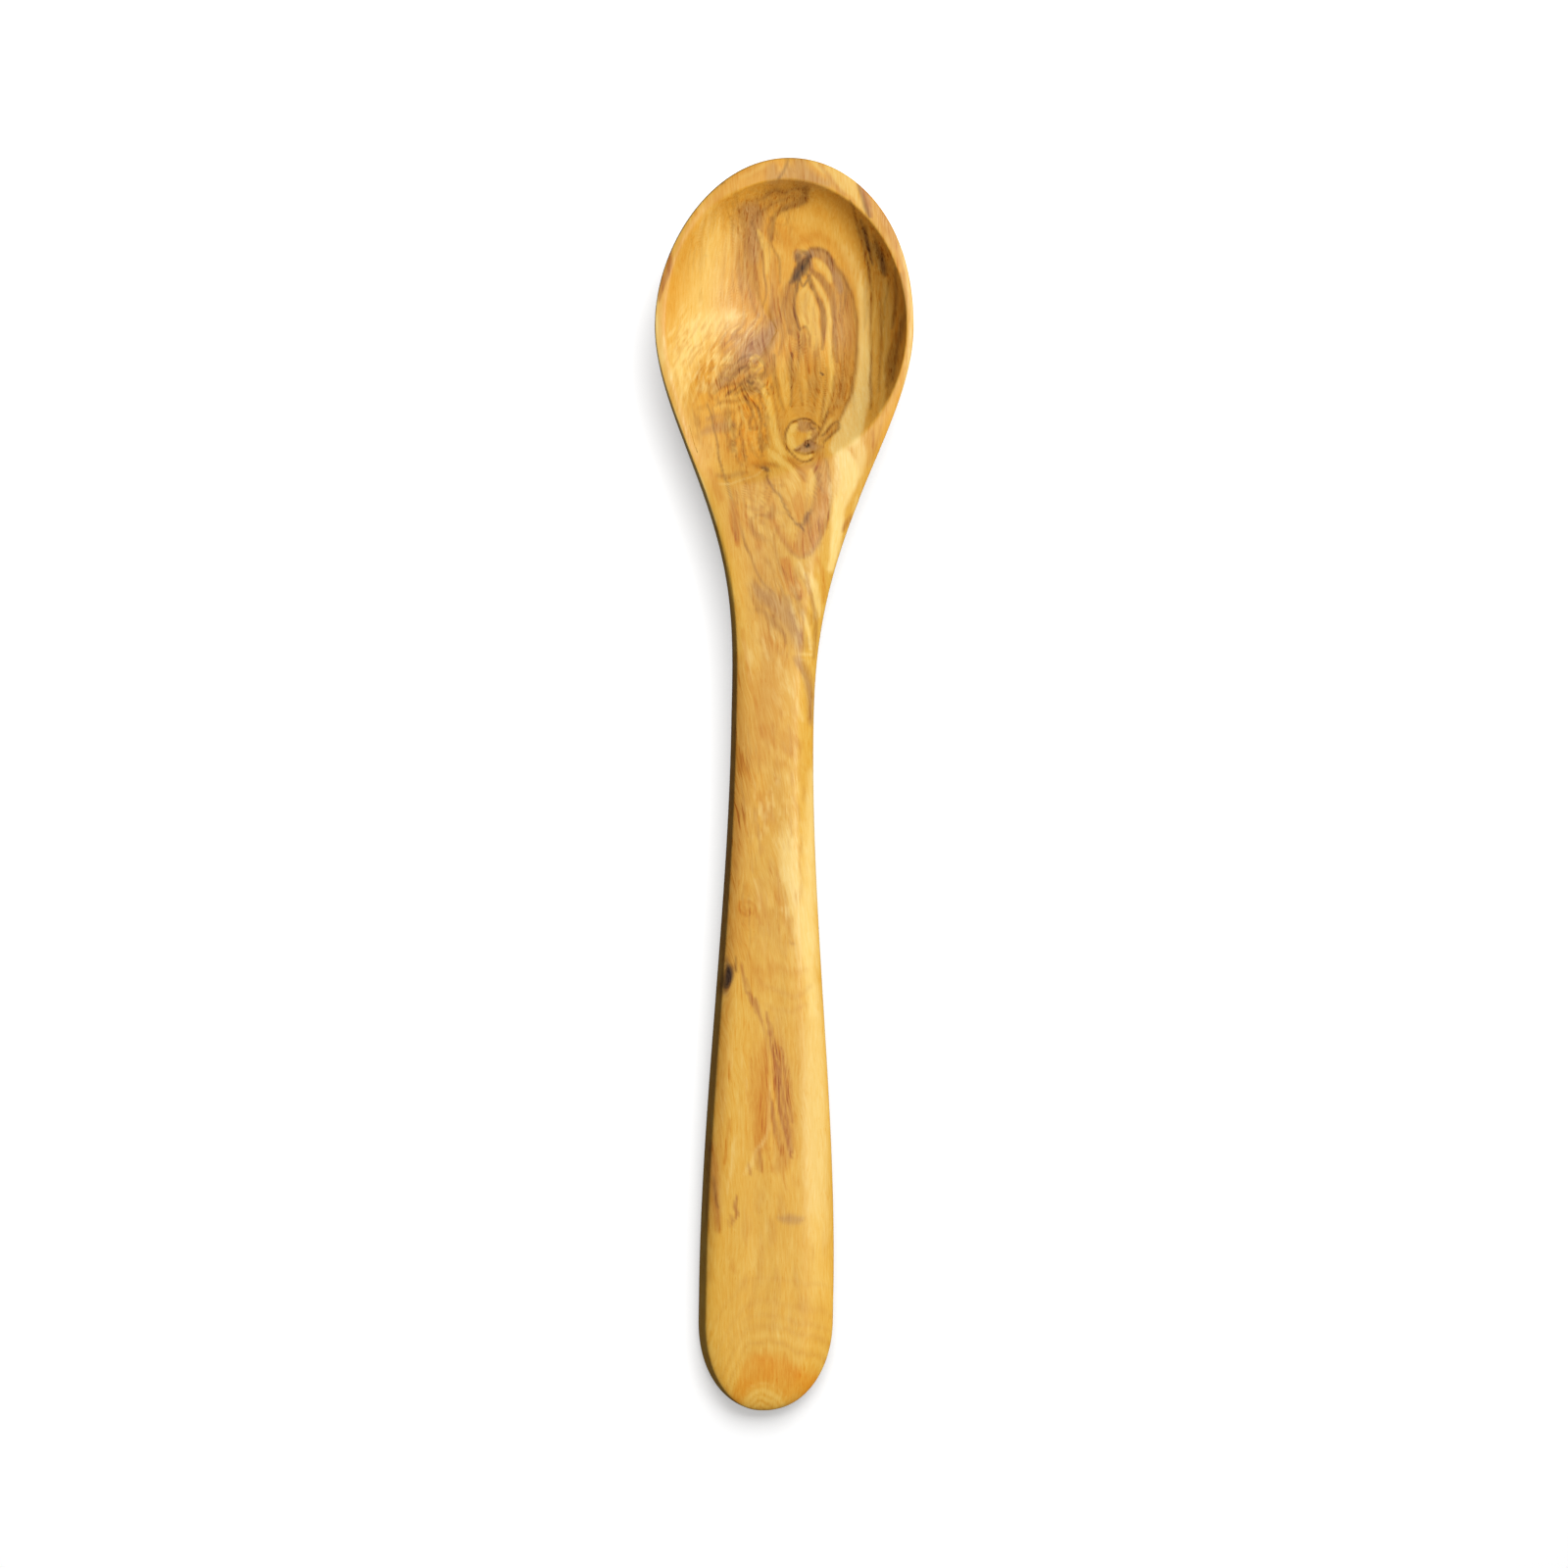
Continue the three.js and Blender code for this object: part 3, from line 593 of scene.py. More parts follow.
    ("pale", 0.75, 4, [(-17, 135, 2), (-18, 126, 4), (-20, 115, 4), (-24, 104, 4), (-25, 95, 2.5),
        (-21, 86, 2), (-18, 78, 1)]),
    ("straw", 0.25, 4, [(-15, 131, 2.4), (-19, 119, 4.5), (-24, 104, 4)]),
    # painted highlight: the glint on the left wall
    ("straw", 0.85, 3, [(-25, 99, 1.5), (-22, 105, 3), (-18, 110, 3), (-12, 112.5, 1.5)]),
    ("tan", 0.4, 0.6, [(-26.4, 99, 0.3), (-24.4, 93, 0.4), (-21.6, 86, 0.4)]),
    # burl
    ("mauve", 0.9, 1.5, [(-14.5, 97.5, 0.8), (-11.5, 100, 1.6), (-8.4, 103, 2.4), (-5, 105.8, 2.8),
        (-2.4, 108.6, 2), (-0.8, 111.6, 0.8)]),
    ("mauve", 0.65, 1.6, [(-16, 96, 0.8), (-12.6, 98.4, 1.8), (-8.6, 98.6, 2.4), (-5, 97.4, 1.4)]),
    ("mauve", 0.5, 0.5, [(-12.8, 104, 0.4), (-9.6, 107, 0.6), (-6.6, 110, 0.6), (-4.6, 113.4, 0.3)]),
    ("brown", 0.45, 0.35, [(-11, 103, 0.25), (-7.2, 107.5, 0.35), (-4.2, 110.6, 0.35), (-2.8, 113.6, 0.25)]),
    ("brown", 0.45, 0.35, [(-9, 101.8, 0.25), (-6, 105.4, 0.3), (-3, 108.5, 0.3), (-1.8, 111.5, 0.25)]),
    ("brown", 0.6, 0.7, [(-3, 105.5, 0.6), (-2.4, 102.5, 0.9), (-2.4, 100, 0.9), (-3.8, 98.6, 0.4)]),
    ("pale", 0.85, 0.3, [(-6.4, 101, 0.25), (-6.2, 102.8, 0.4), (-5, 103.9, 0.45), (-3.9, 103, 0.4),
        (-4.1, 101.4, 0.4), (-5.2, 100.6, 0.35), (-6.6, 100.2, 0.2)]),
    ("mauve", 0.7, 0.3, [(-5.4, 102.4, 0.4), (-4.9, 101.9, 0.4)]),
    ("dark", 0.9, 0.3, [(-9.2, 100.5, 0.35), (-8.3, 100.7, 0.35), (-7.4, 101.2, 0.25)]),
    ("dark", 0.9, 0.3, [(-7.6, 97.4, 0.35), (-6.8, 96.9, 0.4), (-6.2, 97.3, 0.25)]),
    ("umber", 0.9, 0.35, [(-10, 94.8, 0.35), (-8.6, 95.6, 0.4), (-7, 95.3, 0.45), (-5.6, 95.8, 0.45),
        (-4.6, 95, 0.4), (-4.2, 93.6, 0.3)]),
    ("umber", 0.75, 0.35, [(-12.8, 94, 0.25), (-11.4, 95.2, 0.3), (-10, 96.2, 0.3), (-8.4, 97.8, 0.3),
        (-6.8, 98.8, 0.3)]),
    ("amber", 0.6, 0.6, [(-15.6, 93.4, 0.4), (-13.4, 96, 0.6), (-10.6, 97.2, 0.7), (-8.6, 98.6, 0.5)]),
    ("brown", 0.45, 0.35, [(-17.6, 96.4, 0.25), (-17, 93.6, 0.3), (-15.4, 92.4, 0.3)]),
    ("tan", 0.5, 0.5, [(-20, 99, 0.4), (-19.4, 95.4, 0.5), (-21.4, 91.6, 0.4)]),
    ("umber", 0.55, 0.35, [(-16.2, 91.2, 0.2), (-14.2, 92.3, 0.3), (-11.6, 92.7, 0.3), (-9, 93, 0.3),
        (-6.8, 92.7, 0.3), (-5.7, 91.5, 0.3), (-5.3, 89.6, 0.3), (-5.7, 86.7, 0.2)]),
    ("umber", 0.6, 0.35, [(-16.4, 94.2, 0.2), (-13.5, 96.3, 0.3), (-10.5, 97.1, 0.35), (-8.3, 96.3, 0.3),
        (-5.7, 95.6, 0.3), (-3.6, 94.1, 0.3), (-2.8, 91.2, 0.3), (-3.1, 87.4, 0.2)]),
    ("umber", 0.5, 0.35, [(-12, 100.8, 0.2), (-9.8, 102.3, 0.3), (-7.6, 103.4, 0.35), (-5.7, 103.8, 0.35),
        (-3.5, 102.6, 0.35), (-3.1, 100.4, 0.35), (-4.6, 98.6, 0.3), (-6.8, 98.2, 0.2)]),
    ("brown", 0.5, 0.35, [(-18, 88.2, 0.2), (-15.8, 89, 0.3), (-12.8, 89.6, 0.3), (-9.8, 90.4, 0.3),
        (-8.2, 89.4, 0.3), (-7.8, 87, 0.2)]),
    ("brown", 0.5, 0.35, [(-14.6, 98.8, 0.2), (-12, 99.4, 0.3), (-9.4, 100.6, 0.3), (-7.4, 101.2, 0.2)]),
    ("tan", 0.4, 2.4, [(-23, 93, 1), (-20.4, 87, 2), (-18, 80, 1.6)]),
    # amber wood with flame lines
    ("amber", 0.4, 2, [(-12, 92, 1.4), (-12.6, 86, 2.4), (-11.6, 79, 2)]),
    ("orange", 0.78, 1.6, [(-6, 93, 2), (-7.6, 89, 3.4), (-7.6, 84.5, 4.2), (-7.6, 80, 3.8),
        (-6.4, 77.4, 2.4)]),
    ("umber", 0.6, 0.35, [(-8.6, 93.8, 0.25), (-7.4, 91.5, 0.35), (-6.8, 89.4, 0.35), (-7.2, 87.8, 0.2)]),
    ("umber", 0.55, 0.35, [(-6.6, 92.6, 0.25), (-5.2, 90.4, 0.3), (-4.7, 86.6, 0.35), (-5.2, 83, 0.3),
        (-4.8, 80, 0.25)]),
    ("umber", 0.4, 0.35, [(-10, 91.6, 0.25), (-9.2, 88.6, 0.3), (-10, 85.4, 0.35), (-9.4, 81.6, 0.3),
        (-9.8, 78, 0.25)]),
    ("umber", 0.4, 0.35, [(-12, 90, 0.25), (-12.8, 87, 0.3), (-11.4, 83.6, 0.35), (-11.8, 80, 0.3)]),
    ("brown", 0.6, 0.4, [(-4.6, 93.4, 0.3), (-3.8, 90.4, 0.35), (-3.4, 86.6, 0.4), (-3, 83, 0.35),
        (-3.2, 80.6, 0.25)]),
    ("pale", 0.6, 0.35, [(-16.4, 90.8, 0.3), (-13.6, 91.4, 0.4), (-10.8, 91.6, 0.35), (-8.6, 92.6, 0.25)]),
    ("pale", 0.45, 0.35, [(-13, 93.4, 0.25), (-10.8, 93.9, 0.35), (-9.4, 95, 0.25)]),
    ("pale", 0.4, 0.4, [(-8.6, 88.4, 0.25), (-8.2, 85.6, 0.35), (-8.8, 82.6, 0.25)]),
    ("pale", 0.35, 0.4, [(-6.2, 86.6, 0.25), (-6.4, 83.6, 0.35), (-6.2, 80.4, 0.25)]),
    ("mauve", 0.6, 0.8, [(-19, 84.6, 0.6), (-16.6, 85.6, 1.2), (-14, 86, 1.4), (-11.8, 86.8, 0.6)]),
    ("mauve", 0.4, 0.5, [(-18, 88, 0.5), (-15.4, 88.4, 0.5), (-12.4, 88, 0.4)]),
    ("pale", 0.95, 0.35, [(-4.9, 98.2, 0.3), (-3.8, 97, 0.5), (-3.1, 94.5, 0.65), (-2.5, 91.5, 0.75),
        (-1.9, 88, 0.8), (-1.4, 84.8, 0.85), (-0.8, 82.2, 0.9), (0, 80.4, 0.8)]),
    ("brown", 0.5, 0.35, [(-1.6, 96.5, 0.3), (-1.1, 92.5, 0.35), (-0.6, 88.6, 0.35), (-0.2, 86, 0.3),
        (0.3, 84, 0.2)]),
    # knot with its eye
    ("tan", 0.5, 1, [(0.6, 90, 0.8), (0.2, 87, 0.8), (0, 84, 0.5)]),
    ("mauve", 0.7, 0.6, [(5, 86.8, 1.4), (7, 86, 1.6), (8, 83.8, 1.4), (6.5, 82.6, 1.4)]),
    ("pale", 0.95, 0.35, [(3.6, 87, 0.5), (2.4, 85.2, 0.95), (2.3, 83, 1.05), (3, 81.3, 0.7)]),
    ("umber", 0.85, 0.25, [(9.4, 86.2, 0.2), (8.6, 87.5, 0.25), (6.8, 88.4, 0.25), (5, 88.5, 0.25),
        (3, 87.7, 0.25), (1.6, 86.2, 0.25), (0.9, 84.3, 0.25), (0.9, 82.4, 0.25), (1.6, 80.6, 0.25),
        (2.8, 79.2, 0.25), (4.4, 78.3, 0.25), (6, 78.2, 0.25), (7.4, 79, 0.2)]),
    ("umber", 0.7, 0.25, [(8.4, 87.4, 0.2), (7.2, 87.6, 0.25), (6.9, 86.7, 0.25), (7.6, 86, 0.25),
        (8.5, 86.5, 0.2)]),
    ("pale", 0.85, 0.3, [(6.9, 84.9, 0.5), (6.4, 83.4, 0.6)]),
    ("mauve", 0.9, 0.3, [(3, 80.8, 0.2), (4.4, 81.4, 0.8), (6, 81.6, 1.4), (7.6, 81.7, 1), (9.2, 81.8, 0.3)]),
    ("umber", 0.6, 0.3, [(3, 80.6, 0.25), (4.6, 80.2, 0.3), (6, 79.9, 0.3), (7.6, 80.4, 0.25),
        (9.2, 81.6, 0.2)]),
    ("umber", 0.5, 0.3, [(3, 80.8, 0.2), (4.8, 81.6, 0.35), (5.6, 82.8, 0.3)]),
    ("pith", 0.95, 0.35, [(5.9, 81.6, 0.4), (6.5, 81.8, 0.5), (7, 81.8, 0.35)]),
    ("pale", 0.8, 0.3, [(4, 79.3, 0.3), (5.6, 79, 0.4), (7, 79.5, 0.3)]),
    ("umber", 0.55, 0.3, [(7.8, 83.2, 0.25), (9, 85, 0.3), (10.4, 87.4, 0.3), (11.6, 90, 0.3)]),
    ("pale", 0.6, 0.3, [(8.8, 83.2, 0.25), (10, 85.2, 0.35), (11.4, 87, 0.35), (12.6, 89, 0.25)]),
    ("tan", 0.7, 0.4, [(9.4, 83.6, 0.4), (11.2, 85.2, 0.8), (12.8, 86.6, 0.8), (13.4, 87.4, 0.4)]),
    ("umber", 0.75, 0.3, [(10.2, 83.2, 0.3), (11.6, 84.4, 0.3), (13, 85.6, 0.35), (14, 86.8, 0.35),
        (13.4, 88.2, 0.25), (12.2, 87, 0.3), (11, 85.6, 0.3), (9.8, 84.6, 0.25)]),
    ("umber", 0.5, 0.3, [(7.6, 79.4, 0.25), (9, 81, 0.3), (10, 82.8, 0.25)]),
    ("tan", 0.7, 0.6, [(1.6, 78.6, 0.6), (3.6, 77.6, 0.9), (6, 77, 0.8)]),
    ("mauve", 0.85, 0.3, [(7.5, 81.7, 0.9), (8.3, 81.7, 0.6), (9.3, 81.8, 0.2)]),
    ("umber", 0.7, 0.25, [(5, 82, 0.2), (6, 82.9, 0.25), (7, 83, 0.25), (8.1, 82.5, 0.25), (9.6, 81.8, 0.2)]),
    ("umber", 0.65, 0.25, [(6.4, 79.9, 0.2), (8, 80.5, 0.25), (9.6, 81.8, 0.2)]),
    # heart running down the neck
    ("amber", 0.8, 0.6, [(-7.6, 77, 0.5), (-4.6, 77.2, 0.8), (-2.4, 76.6, 0.5)]),
    ("amber", 0.8, 0.5, [(1.4, 78.6, 0.4), (3.2, 77, 0.8), (4.8, 75.2, 0.9), (5.2, 73.4, 0.3)]),
    ("brown", 0.5, 0.5, [(1.6, 78.2, 0.3), (3.2, 76.8, 0.6), (4.6, 75.2, 0.7), (5, 73.6, 0.3)]),
    ("pale", 0.95, 0.35, [(-3, 80.6, 0.4), (-1.9, 79.3, 0.9), (-0.3, 78, 0.75), (1.4, 76.5, 0.65),
        (2.9, 74.9, 0.55), (3.6, 73.4, 0.3)]),
    ("tan", 0.9, 0.8, [(9.2, 82, 0.8), (9, 79.6, 1.2), (9, 76.5, 1.6), (9.6, 72.5, 1.7), (9.4, 68.5, 2),
        (8.6, 64.8, 2.6), (7.2, 61.4, 3), (5.6, 58.4, 2.6)]),
    ("amber", 0.3, 1.4, [(9, 79, 1.4), (9.6, 72, 1.8), (8.6, 65, 2.4), (6, 59, 2.4)]),
    ("pale", 0.7, 0.5, [(6.8, 76, 0.6), (7.2, 73.4, 0.8), (6.6, 70.6, 0.6)]),
    ("amber", 0.5, 0.9, [(3.4, 70, 1), (4, 67, 1.6), (3.6, 64.4, 1)]),
    ("umber", 0.45, 0.5, [(7, 78, 0.25), (8, 75.8, 0.3), (8.2, 73, 0.3), (7.6, 70, 0.3), (7, 67.2, 0.3)]),
    ("umber", 0.45, 0.4, [(10.4, 79, 0.25), (11, 75, 0.3), (11.7, 70.5, 0.35), (11.4, 66.5, 0.35),
        (10.6, 62.4, 0.3)]),
    ("brown", 0.55, 0.5, [(0.4, 59.4, 0.3), (1.6, 57, 0.4), (4.2, 55.7, 0.45), (7, 56.4, 0.5),
        (9.2, 59, 0.45), (10.6, 62.4, 0.35)]),
    ("brown", 0.7, 0.5, [(6.2, 65.8, 0.6), (5.6, 64.2, 0.7), (5.4, 62.8, 0.4)]),
    ("umber", 0.75, 0.25, [(-4, 75.4, 0.25), (-3.6, 73.5, 0.3), (-2.1, 71, 0.3), (-0.3, 69, 0.3),
        (1.4, 66.2, 0.3), (3, 63.8, 0.35), (4.6, 62.2, 0.3)]),
    ("umber", 0.9, 0.25, [(6.9, 66.4, 0.3), (5.9, 65.7, 0.3), (5.5, 64, 0.35), (4.8, 62.4, 0.3),
        (5.4, 61, 0.2)]),
    ("dark", 0.9, 0.4, [(-5, 76.2, 0.35), (-4, 76, 0.5), (-3.4, 75.4, 0.35)]),
    ("umber", 0.4, 0.6, [(-6.4, 76.6, 0.4), (-3, 77, 0.4), (-1.4, 76.6, 0.3)]),
    ("umber", 0.6, 0.25, [(-18, 91.4, 0.2), (-17, 88.5, 0.25), (-16.3, 85.4, 0.25), (-15.6, 82, 0.25),
        (-15, 78.2, 0.3), (-14, 74.5, 0.3), (-13.1, 71, 0.3), (-12, 67.6, 0.3), (-10.8, 64.5, 0.3),
        (-9.7, 61, 0.3), (-8.6, 58, 0.3), (-7.2, 54.6, 0.3), (-5, 49.8, 0.3), (-3.8, 47.7, 0.3),
        (-1.6, 45.9, 0.25)]),
    ("brown", 0.5, 0.4, [(-10.2, 77.6, 0.25), (-9.8, 74.6, 0.35), (-8.4, 71.4, 0.3), (-7.6, 68.6, 0.2)]),
    # painted highlight along the crisp lower edge of the hollow
    ("straw", 0.6, 0.3, [(-15.6, 72.3, 0.1), (-12.4, 72.6, 0.15), (-9.6, 73.2, 0.15), (-6.8, 74.4, 0.15),
        (-4.8, 75.6, 0.1)]),
    ("brown", 0.6, 0.6, [(-15.5, 74.2, 0.5), (-12, 74.4, 0.6), (-9, 75, 0.5)]),
    ("amber", 0.6, 0.9, [(-17.6, 76, 0.6), (-16.4, 72, 1), (-15, 69, 0.7)]),
    ("amber", 0.9, 0.6, [(-12.4, 68, 0.5), (-11.7, 64, 1.3), (-11, 60.4, 1.1), (-10.7, 57.4, 0.4)]),
    ("brown", 0.4, 0.5, [(-12.2, 66.4, 0.3), (-11.4, 62.4, 0.6), (-10.9, 59, 0.4)]),
    ("tan", 0.5, 0.7, [(-8.6, 67, 0.6), (-6, 67, 0.8), (-3.6, 67.4, 0.5)]),
    ("brown", 0.55, 0.45, [(-5.2, 63.4, 0.3), (-3.6, 60.4, 0.35), (-2.2, 58, 0.35), (-1.2, 55.6, 0.3),
        (0, 51.4, 0.35), (1.2, 49.2, 0.4)]),
    ("brown", 0.65, 0.45, [(-3.4, 65.2, 0.3), (-1.6, 62.2, 0.45), (0.4, 59.2, 0.45), (2.6, 56.6, 0.3)]),
    ("amber", 0.6, 0.9, [(-4, 65.4, 0.4), (-2.2, 63, 0.9), (0.2, 60.2, 1.1), (2.4, 57.6, 1),
        (4.4, 56.4, 0.6)]),
    ("pale", 0.7, 0.7, [(0.6, 73, 0.7), (2.2, 72, 0.9), (2.6, 70.4, 0.5)]),
    ("pale", 0.4, 0.9, [(-9.6, 71, 0.8), (-7.6, 64.6, 1.2), (-6.6, 59.4, 1.2), (-5, 54, 0.9)]),
    # right shoulder: painted highlight where it faces the light, with fibre lines and a russet streak
    ("straw", 0.95, 0.6, [(14.6, 79, 2.2), (15.6, 75.5, 2.8), (15, 71.5, 2.3), (13.8, 67.5, 1.6),
        (13.6, 63, 1.5), (13.4, 58, 1.3), (12.2, 53, 1)]),
    ("straw", 0.6, 0.7, [(17.8, 83, 1.3), (18.8, 80, 1.5), (18.4, 76, 1.4)]),
    ("tan", 0.35, 0.35, [(13.2, 79.4, 0.25), (13.6, 75, 0.3), (13, 70.4, 0.25)]),
    ("tan", 0.6, 0.5, [(21.6, 85.4, 0.35), (21.8, 81.6, 0.6), (21.2, 78, 0.5)]),
    ("tan", 0.5, 0.45, [(23.8, 88.6, 0.3), (23.4, 84.8, 0.4), (22.6, 81.4, 0.3)]),
    ("russet", 0.65, 0.5, [(17, 65.2, 0.35), (16.2, 63.6, 0.7), (15.2, 61.8, 0.4)]),
]
handleMarkings = [
    # broad washes: darker wood down the neck and amber in the middle; painted shade along the left edge,
    # where the top turns away from the light; painted highlight along the right bevel and to the right of the
    # middle
    ("tan", 0.55, 5, [(-8, 74, 3), (-5, 56, 4), (-3, 40, 4), (-4, 24, 4), (-6, 8, 2)]),
    # painted shade: the left edge darkens where it rounds away from the light
    ("tan", 0.7, 2.6, [(-10, 30, 1), (-9.4, 12, 1.8), (-9.2, 0, 2.4), (-9.4, -12, 2.6), (-10, -24, 2.4),
        (-10.6, -36, 2), (-11.6, -56, 1), (-12.6, -80, 0.8), (-13, -104, 0.5)]),
    ("brown", 0.4, 0.8, [(-10.6, 30, 0.2), (-10.8, 10, 0.3), (-11, -10, 0.4), (-11.6, -30, 0.4),
        (-13, -55, 0.3), (-14.6, -80, 0.3), (-15.4, -105, 0.3)]),
    # painted highlight: the right bevel, which faces the lamp
    ("straw", 0.9, 1.5, [(8.6, 4, 0.7), (8.2, -15, 1.5), (8.8, -40, 1.5), (9.6, -54, 1)]),
    ("straw", 0.65, 1.6, [(9.8, -48, 1.2), (10.2, -60, 2.4), (10.8, -80, 3), (11.4, -100, 2.8),
        (11.8, -108, 2)]),
    ("amber", 0.22, 4, [(-1, 26, 3), (-1, 8, 4), (-2, -6, 3)]),
    # painted highlight fading out at the bevel's lower end, then the sheen of the fibres to the right of the
    # middle
    ("pale", 0.75, 2.4, [(11.4, -104, 2.4), (12, -120, 2.2)]),
    ("straw", 0.7, 2.5, [(3, -10, 1), (4.6, -22, 2), (6.6, -34, 1.4), (8, -44, 0.6)]),
    # more painted shade along the left edge
    ("brown", 0.45, 2, [(-11.4, 44, 0.3), (-9.9, 20, 0.6), (-10, -5, 0.9), (-11, -35, 1), (-13, -65, 0.8),
        (-14.4, -95, 0.8), (-14.8, -118, 0.3)]),
    # neck
    ("mauve", 0.6, 1.5, [(-6.6, 48, 0.6), (-5, 46, 1.5), (-1.2, 43.6, 2.1), (1.8, 40, 2.1),
        (3.6, 36.4, 1.7), (4.8, 33, 0.9)]),
    ("brown", 0.5, 0.7, [(-6.4, 42.6, 0.3), (-4.2, 41.4, 0.5), (-2.2, 40, 0.6), (-0.8, 38.2, 0.6),
        (0.4, 36.2, 0.5), (1.1, 34.6, 0.3)]),
    ("mauve", 0.5, 0.8, [(1.5, 45.4, 0.7), (2.6, 41.6, 0.9), (3.8, 38, 0.9), (4.6, 35, 0.6)]),
    ("amber", 0.9, 0.7, [(0.8, 54.4, 0.9), (1.8, 51, 1.4), (3, 48, 1.6), (4.2, 46, 1), (4.2, 45, 0.4)]),
    ("brown", 0.7, 0.5, [(2.6, 48, 0.3), (3.6, 45.6, 0.5), (4.4, 45, 0.4)]),
    ("straw", 0.6, 0.4, [(4.3, 54.4, 0.3), (5, 52, 0.4), (6, 50, 0.3)]),
    ("straw", 0.75, 0.5, [(7, 51, 0.4), (8.3, 47.6, 0.7), (9.2, 44, 0.7), (9.4, 41, 0.3)]),
    ("mauve", 0.6, 0.5, [(5.8, 51.5, 0.3), (7, 47.6, 0.5), (8, 43.6, 0.5), (8.4, 40.6, 0.3)]),
    ("amber", 0.6, 0.5, [(8.6, 55, 0.4), (10, 51.6, 0.5), (10.6, 48, 0.5), (10.6, 45, 0.3)]),
    ("straw", 0.8, 0.4, [(5.4, 42, 0.3), (6.4, 39, 0.45), (7.2, 36.2, 0.5), (7.6, 33.2, 0.4)]),
    ("brown", 0.55, 0.5, [(8.6, 42.6, 0.4), (8.9, 38.6, 0.6), (8.9, 34.6, 0.6), (8.7, 31, 0.4)]),
    ("tan", 0.5, 0.4, [(4.6, 34, 0.25), (6.4, 33.4, 0.3), (8, 33.8, 0.25)]),
    ("straw", 0.55, 0.35, [(4.4, 32.4, 0.25), (6.4, 31.8, 0.3), (8, 32, 0.25)]),
    ("straw", 0.5, 0.35, [(4.8, 30.6, 0.2), (6.4, 30.5, 0.25), (7.8, 30.3, 0.2)]),
    ("mauve", 0.5, 0.6, [(3.1, 31.2, 0.35), (4, 29.6, 0.6), (5.4, 28, 0.7), (6.6, 26.3, 0.6),
        (7.4, 24.3, 0.5), (7.9, 21.4, 0.4), (8.2, 17, 0.3)]),
    ("mauve", 0.65, 1, [(4.4, 31, 0.8), (6, 28.4, 1.2), (7.2, 25.4, 1.2), (7.8, 22, 0.9), (8, 16, 0.6)]),
    ("amber", 0.35, 1.2, [(-4, 36.4, 0.8), (-2.4, 33.6, 1.4), (0, 32.6, 1), (1, 30, 0.5)]),
    ("amber", 0.55, 0.4, [(-9.2, 38, 0.25), (-8.8, 34, 0.35), (-8, 30, 0.35), (-7.2, 25.6, 0.35),
        (-5.9, 21, 0.35), (-5, 17.6, 0.2)]),
    ("pale", 0.5, 0.8, [(-6.4, 39, 0.6), (-5.4, 34, 0.9), (-5.8, 29, 0.8)]),
    ("straw", 0.55, 0.5, [(1.2, 28, 0.3), (2.4, 24.6, 0.6), (3.4, 22, 0.3)]),
    ("straw", 0.5, 0.5, [(4.2, 21.4, 0.3), (5, 18.6, 0.5), (5.8, 16.4, 0.3)]),
    ("amber", 0.3, 0.5, [(-4.9, 14, 0.25), (-4.7, 10, 0.35), (-4.9, 7, 0.25)]),
    # painted highlight where the fibres shine in the light, amber clouds, and the knots of the middle
    ("straw", 0.45, 2, [(2, -11, 0.8), (3.4, -17, 1.4), (4.4, -24, 1.4), (6, -32, 1.2), (8, -39, 0.6)]),
    ("amber", 0.3, 0.8, [(-4, 15, 0.5), (-1, 11, 0.8), (3, 8.6, 0.7), (7, 5, 0.4)]),
    ("amber", 0.3, 0.8, [(-7, 3, 0.5), (-4, -3, 0.8), (-1, -8, 0.6)]),
    ("pale", 0.5, 1.2, [(0.6, 4, 0.8), (4, 0.6, 1.5), (6.4, -4, 0.8)]),
    ("tan", 0.3, 0.8, [(-1, -18, 0.8), (1, -24, 1), (2.4, -31, 1), (4, -38, 0.7)]),
    ("straw", 0.45, 1.5, [(1, -13, 1), (3, -18, 2), (4, -24, 1.2)]),
    ("tan", 0.3, 2, [(-4, -22, 1), (-2, -30, 1.5), (1, -38, 1)]),
    ("straw", 0.45, 1.2, [(5, -34, 0.8), (7, -38, 1.2), (8, -43, 0.6)]),
    ("amber", 0.35, 1, [(-5, -36, 0.6), (-1, -41, 0.9), (4, -44, 0.8), (8, -43.6, 0.4)]),
    ("pale", 0.35, 0.8, [(-0.4, -44.6, 0.5), (3.4, -47, 0.7), (7, -47, 0.4)]),
    ("tan", 0.35, 0.7, [(-4, -46, 0.4), (1, -49, 0.5), (6, -49.5, 0.5), (9, -47, 0.4)]),
    ("tan", 0.3, 0.6, [(-2, -52, 0.4), (3, -53.5, 0.5), (8, -52, 0.4)]),
    ("amber", 0.65, 0.35, [(-8.9, -28.4, 0.35), (-8.2, -27.2, 0.35), (-6.7, -26.9, 0.4),
        (-5.3, -27.6, 0.35), (-4.9, -28.8, 0.35), (-5.8, -29.8, 0.35), (-7.4, -30.1, 0.4),
        (-8.7, -29.4, 0.35), (-8.9, -28.4, 0.35)]),
    ("amber", 0.5, 0.35, [(-8, -28.2, 0.3), (-7.2, -29.1, 0.35), (-6.2, -28.5, 0.3)]),
    ("straw", 0.45, 0.4, [(-5.3, -22, 0.3), (-4.3, -26, 0.4), (-3.8, -28.6, 0.25)]),
    ("amber", 0.6, 0.4, [(-4.3, -30, 0.35), (-3.4, -32.6, 0.35)]),
    ("amber", 0.35, 1.5, [(-9.6, -32, 0.8), (-8, -36, 1.6), (-6.4, -42, 1.8), (-3, -48, 1.2)]),
    ("brown", 0.5, 0.25, [(3.2, -36.8, 0.25), (4.3, -37.6, 0.3)]),
    ("brown", 0.6, 0.6, [(-11.2, -44.2, 0.6), (-10.2, -43, 0.4), (-11.6, -49, 0.5)]),
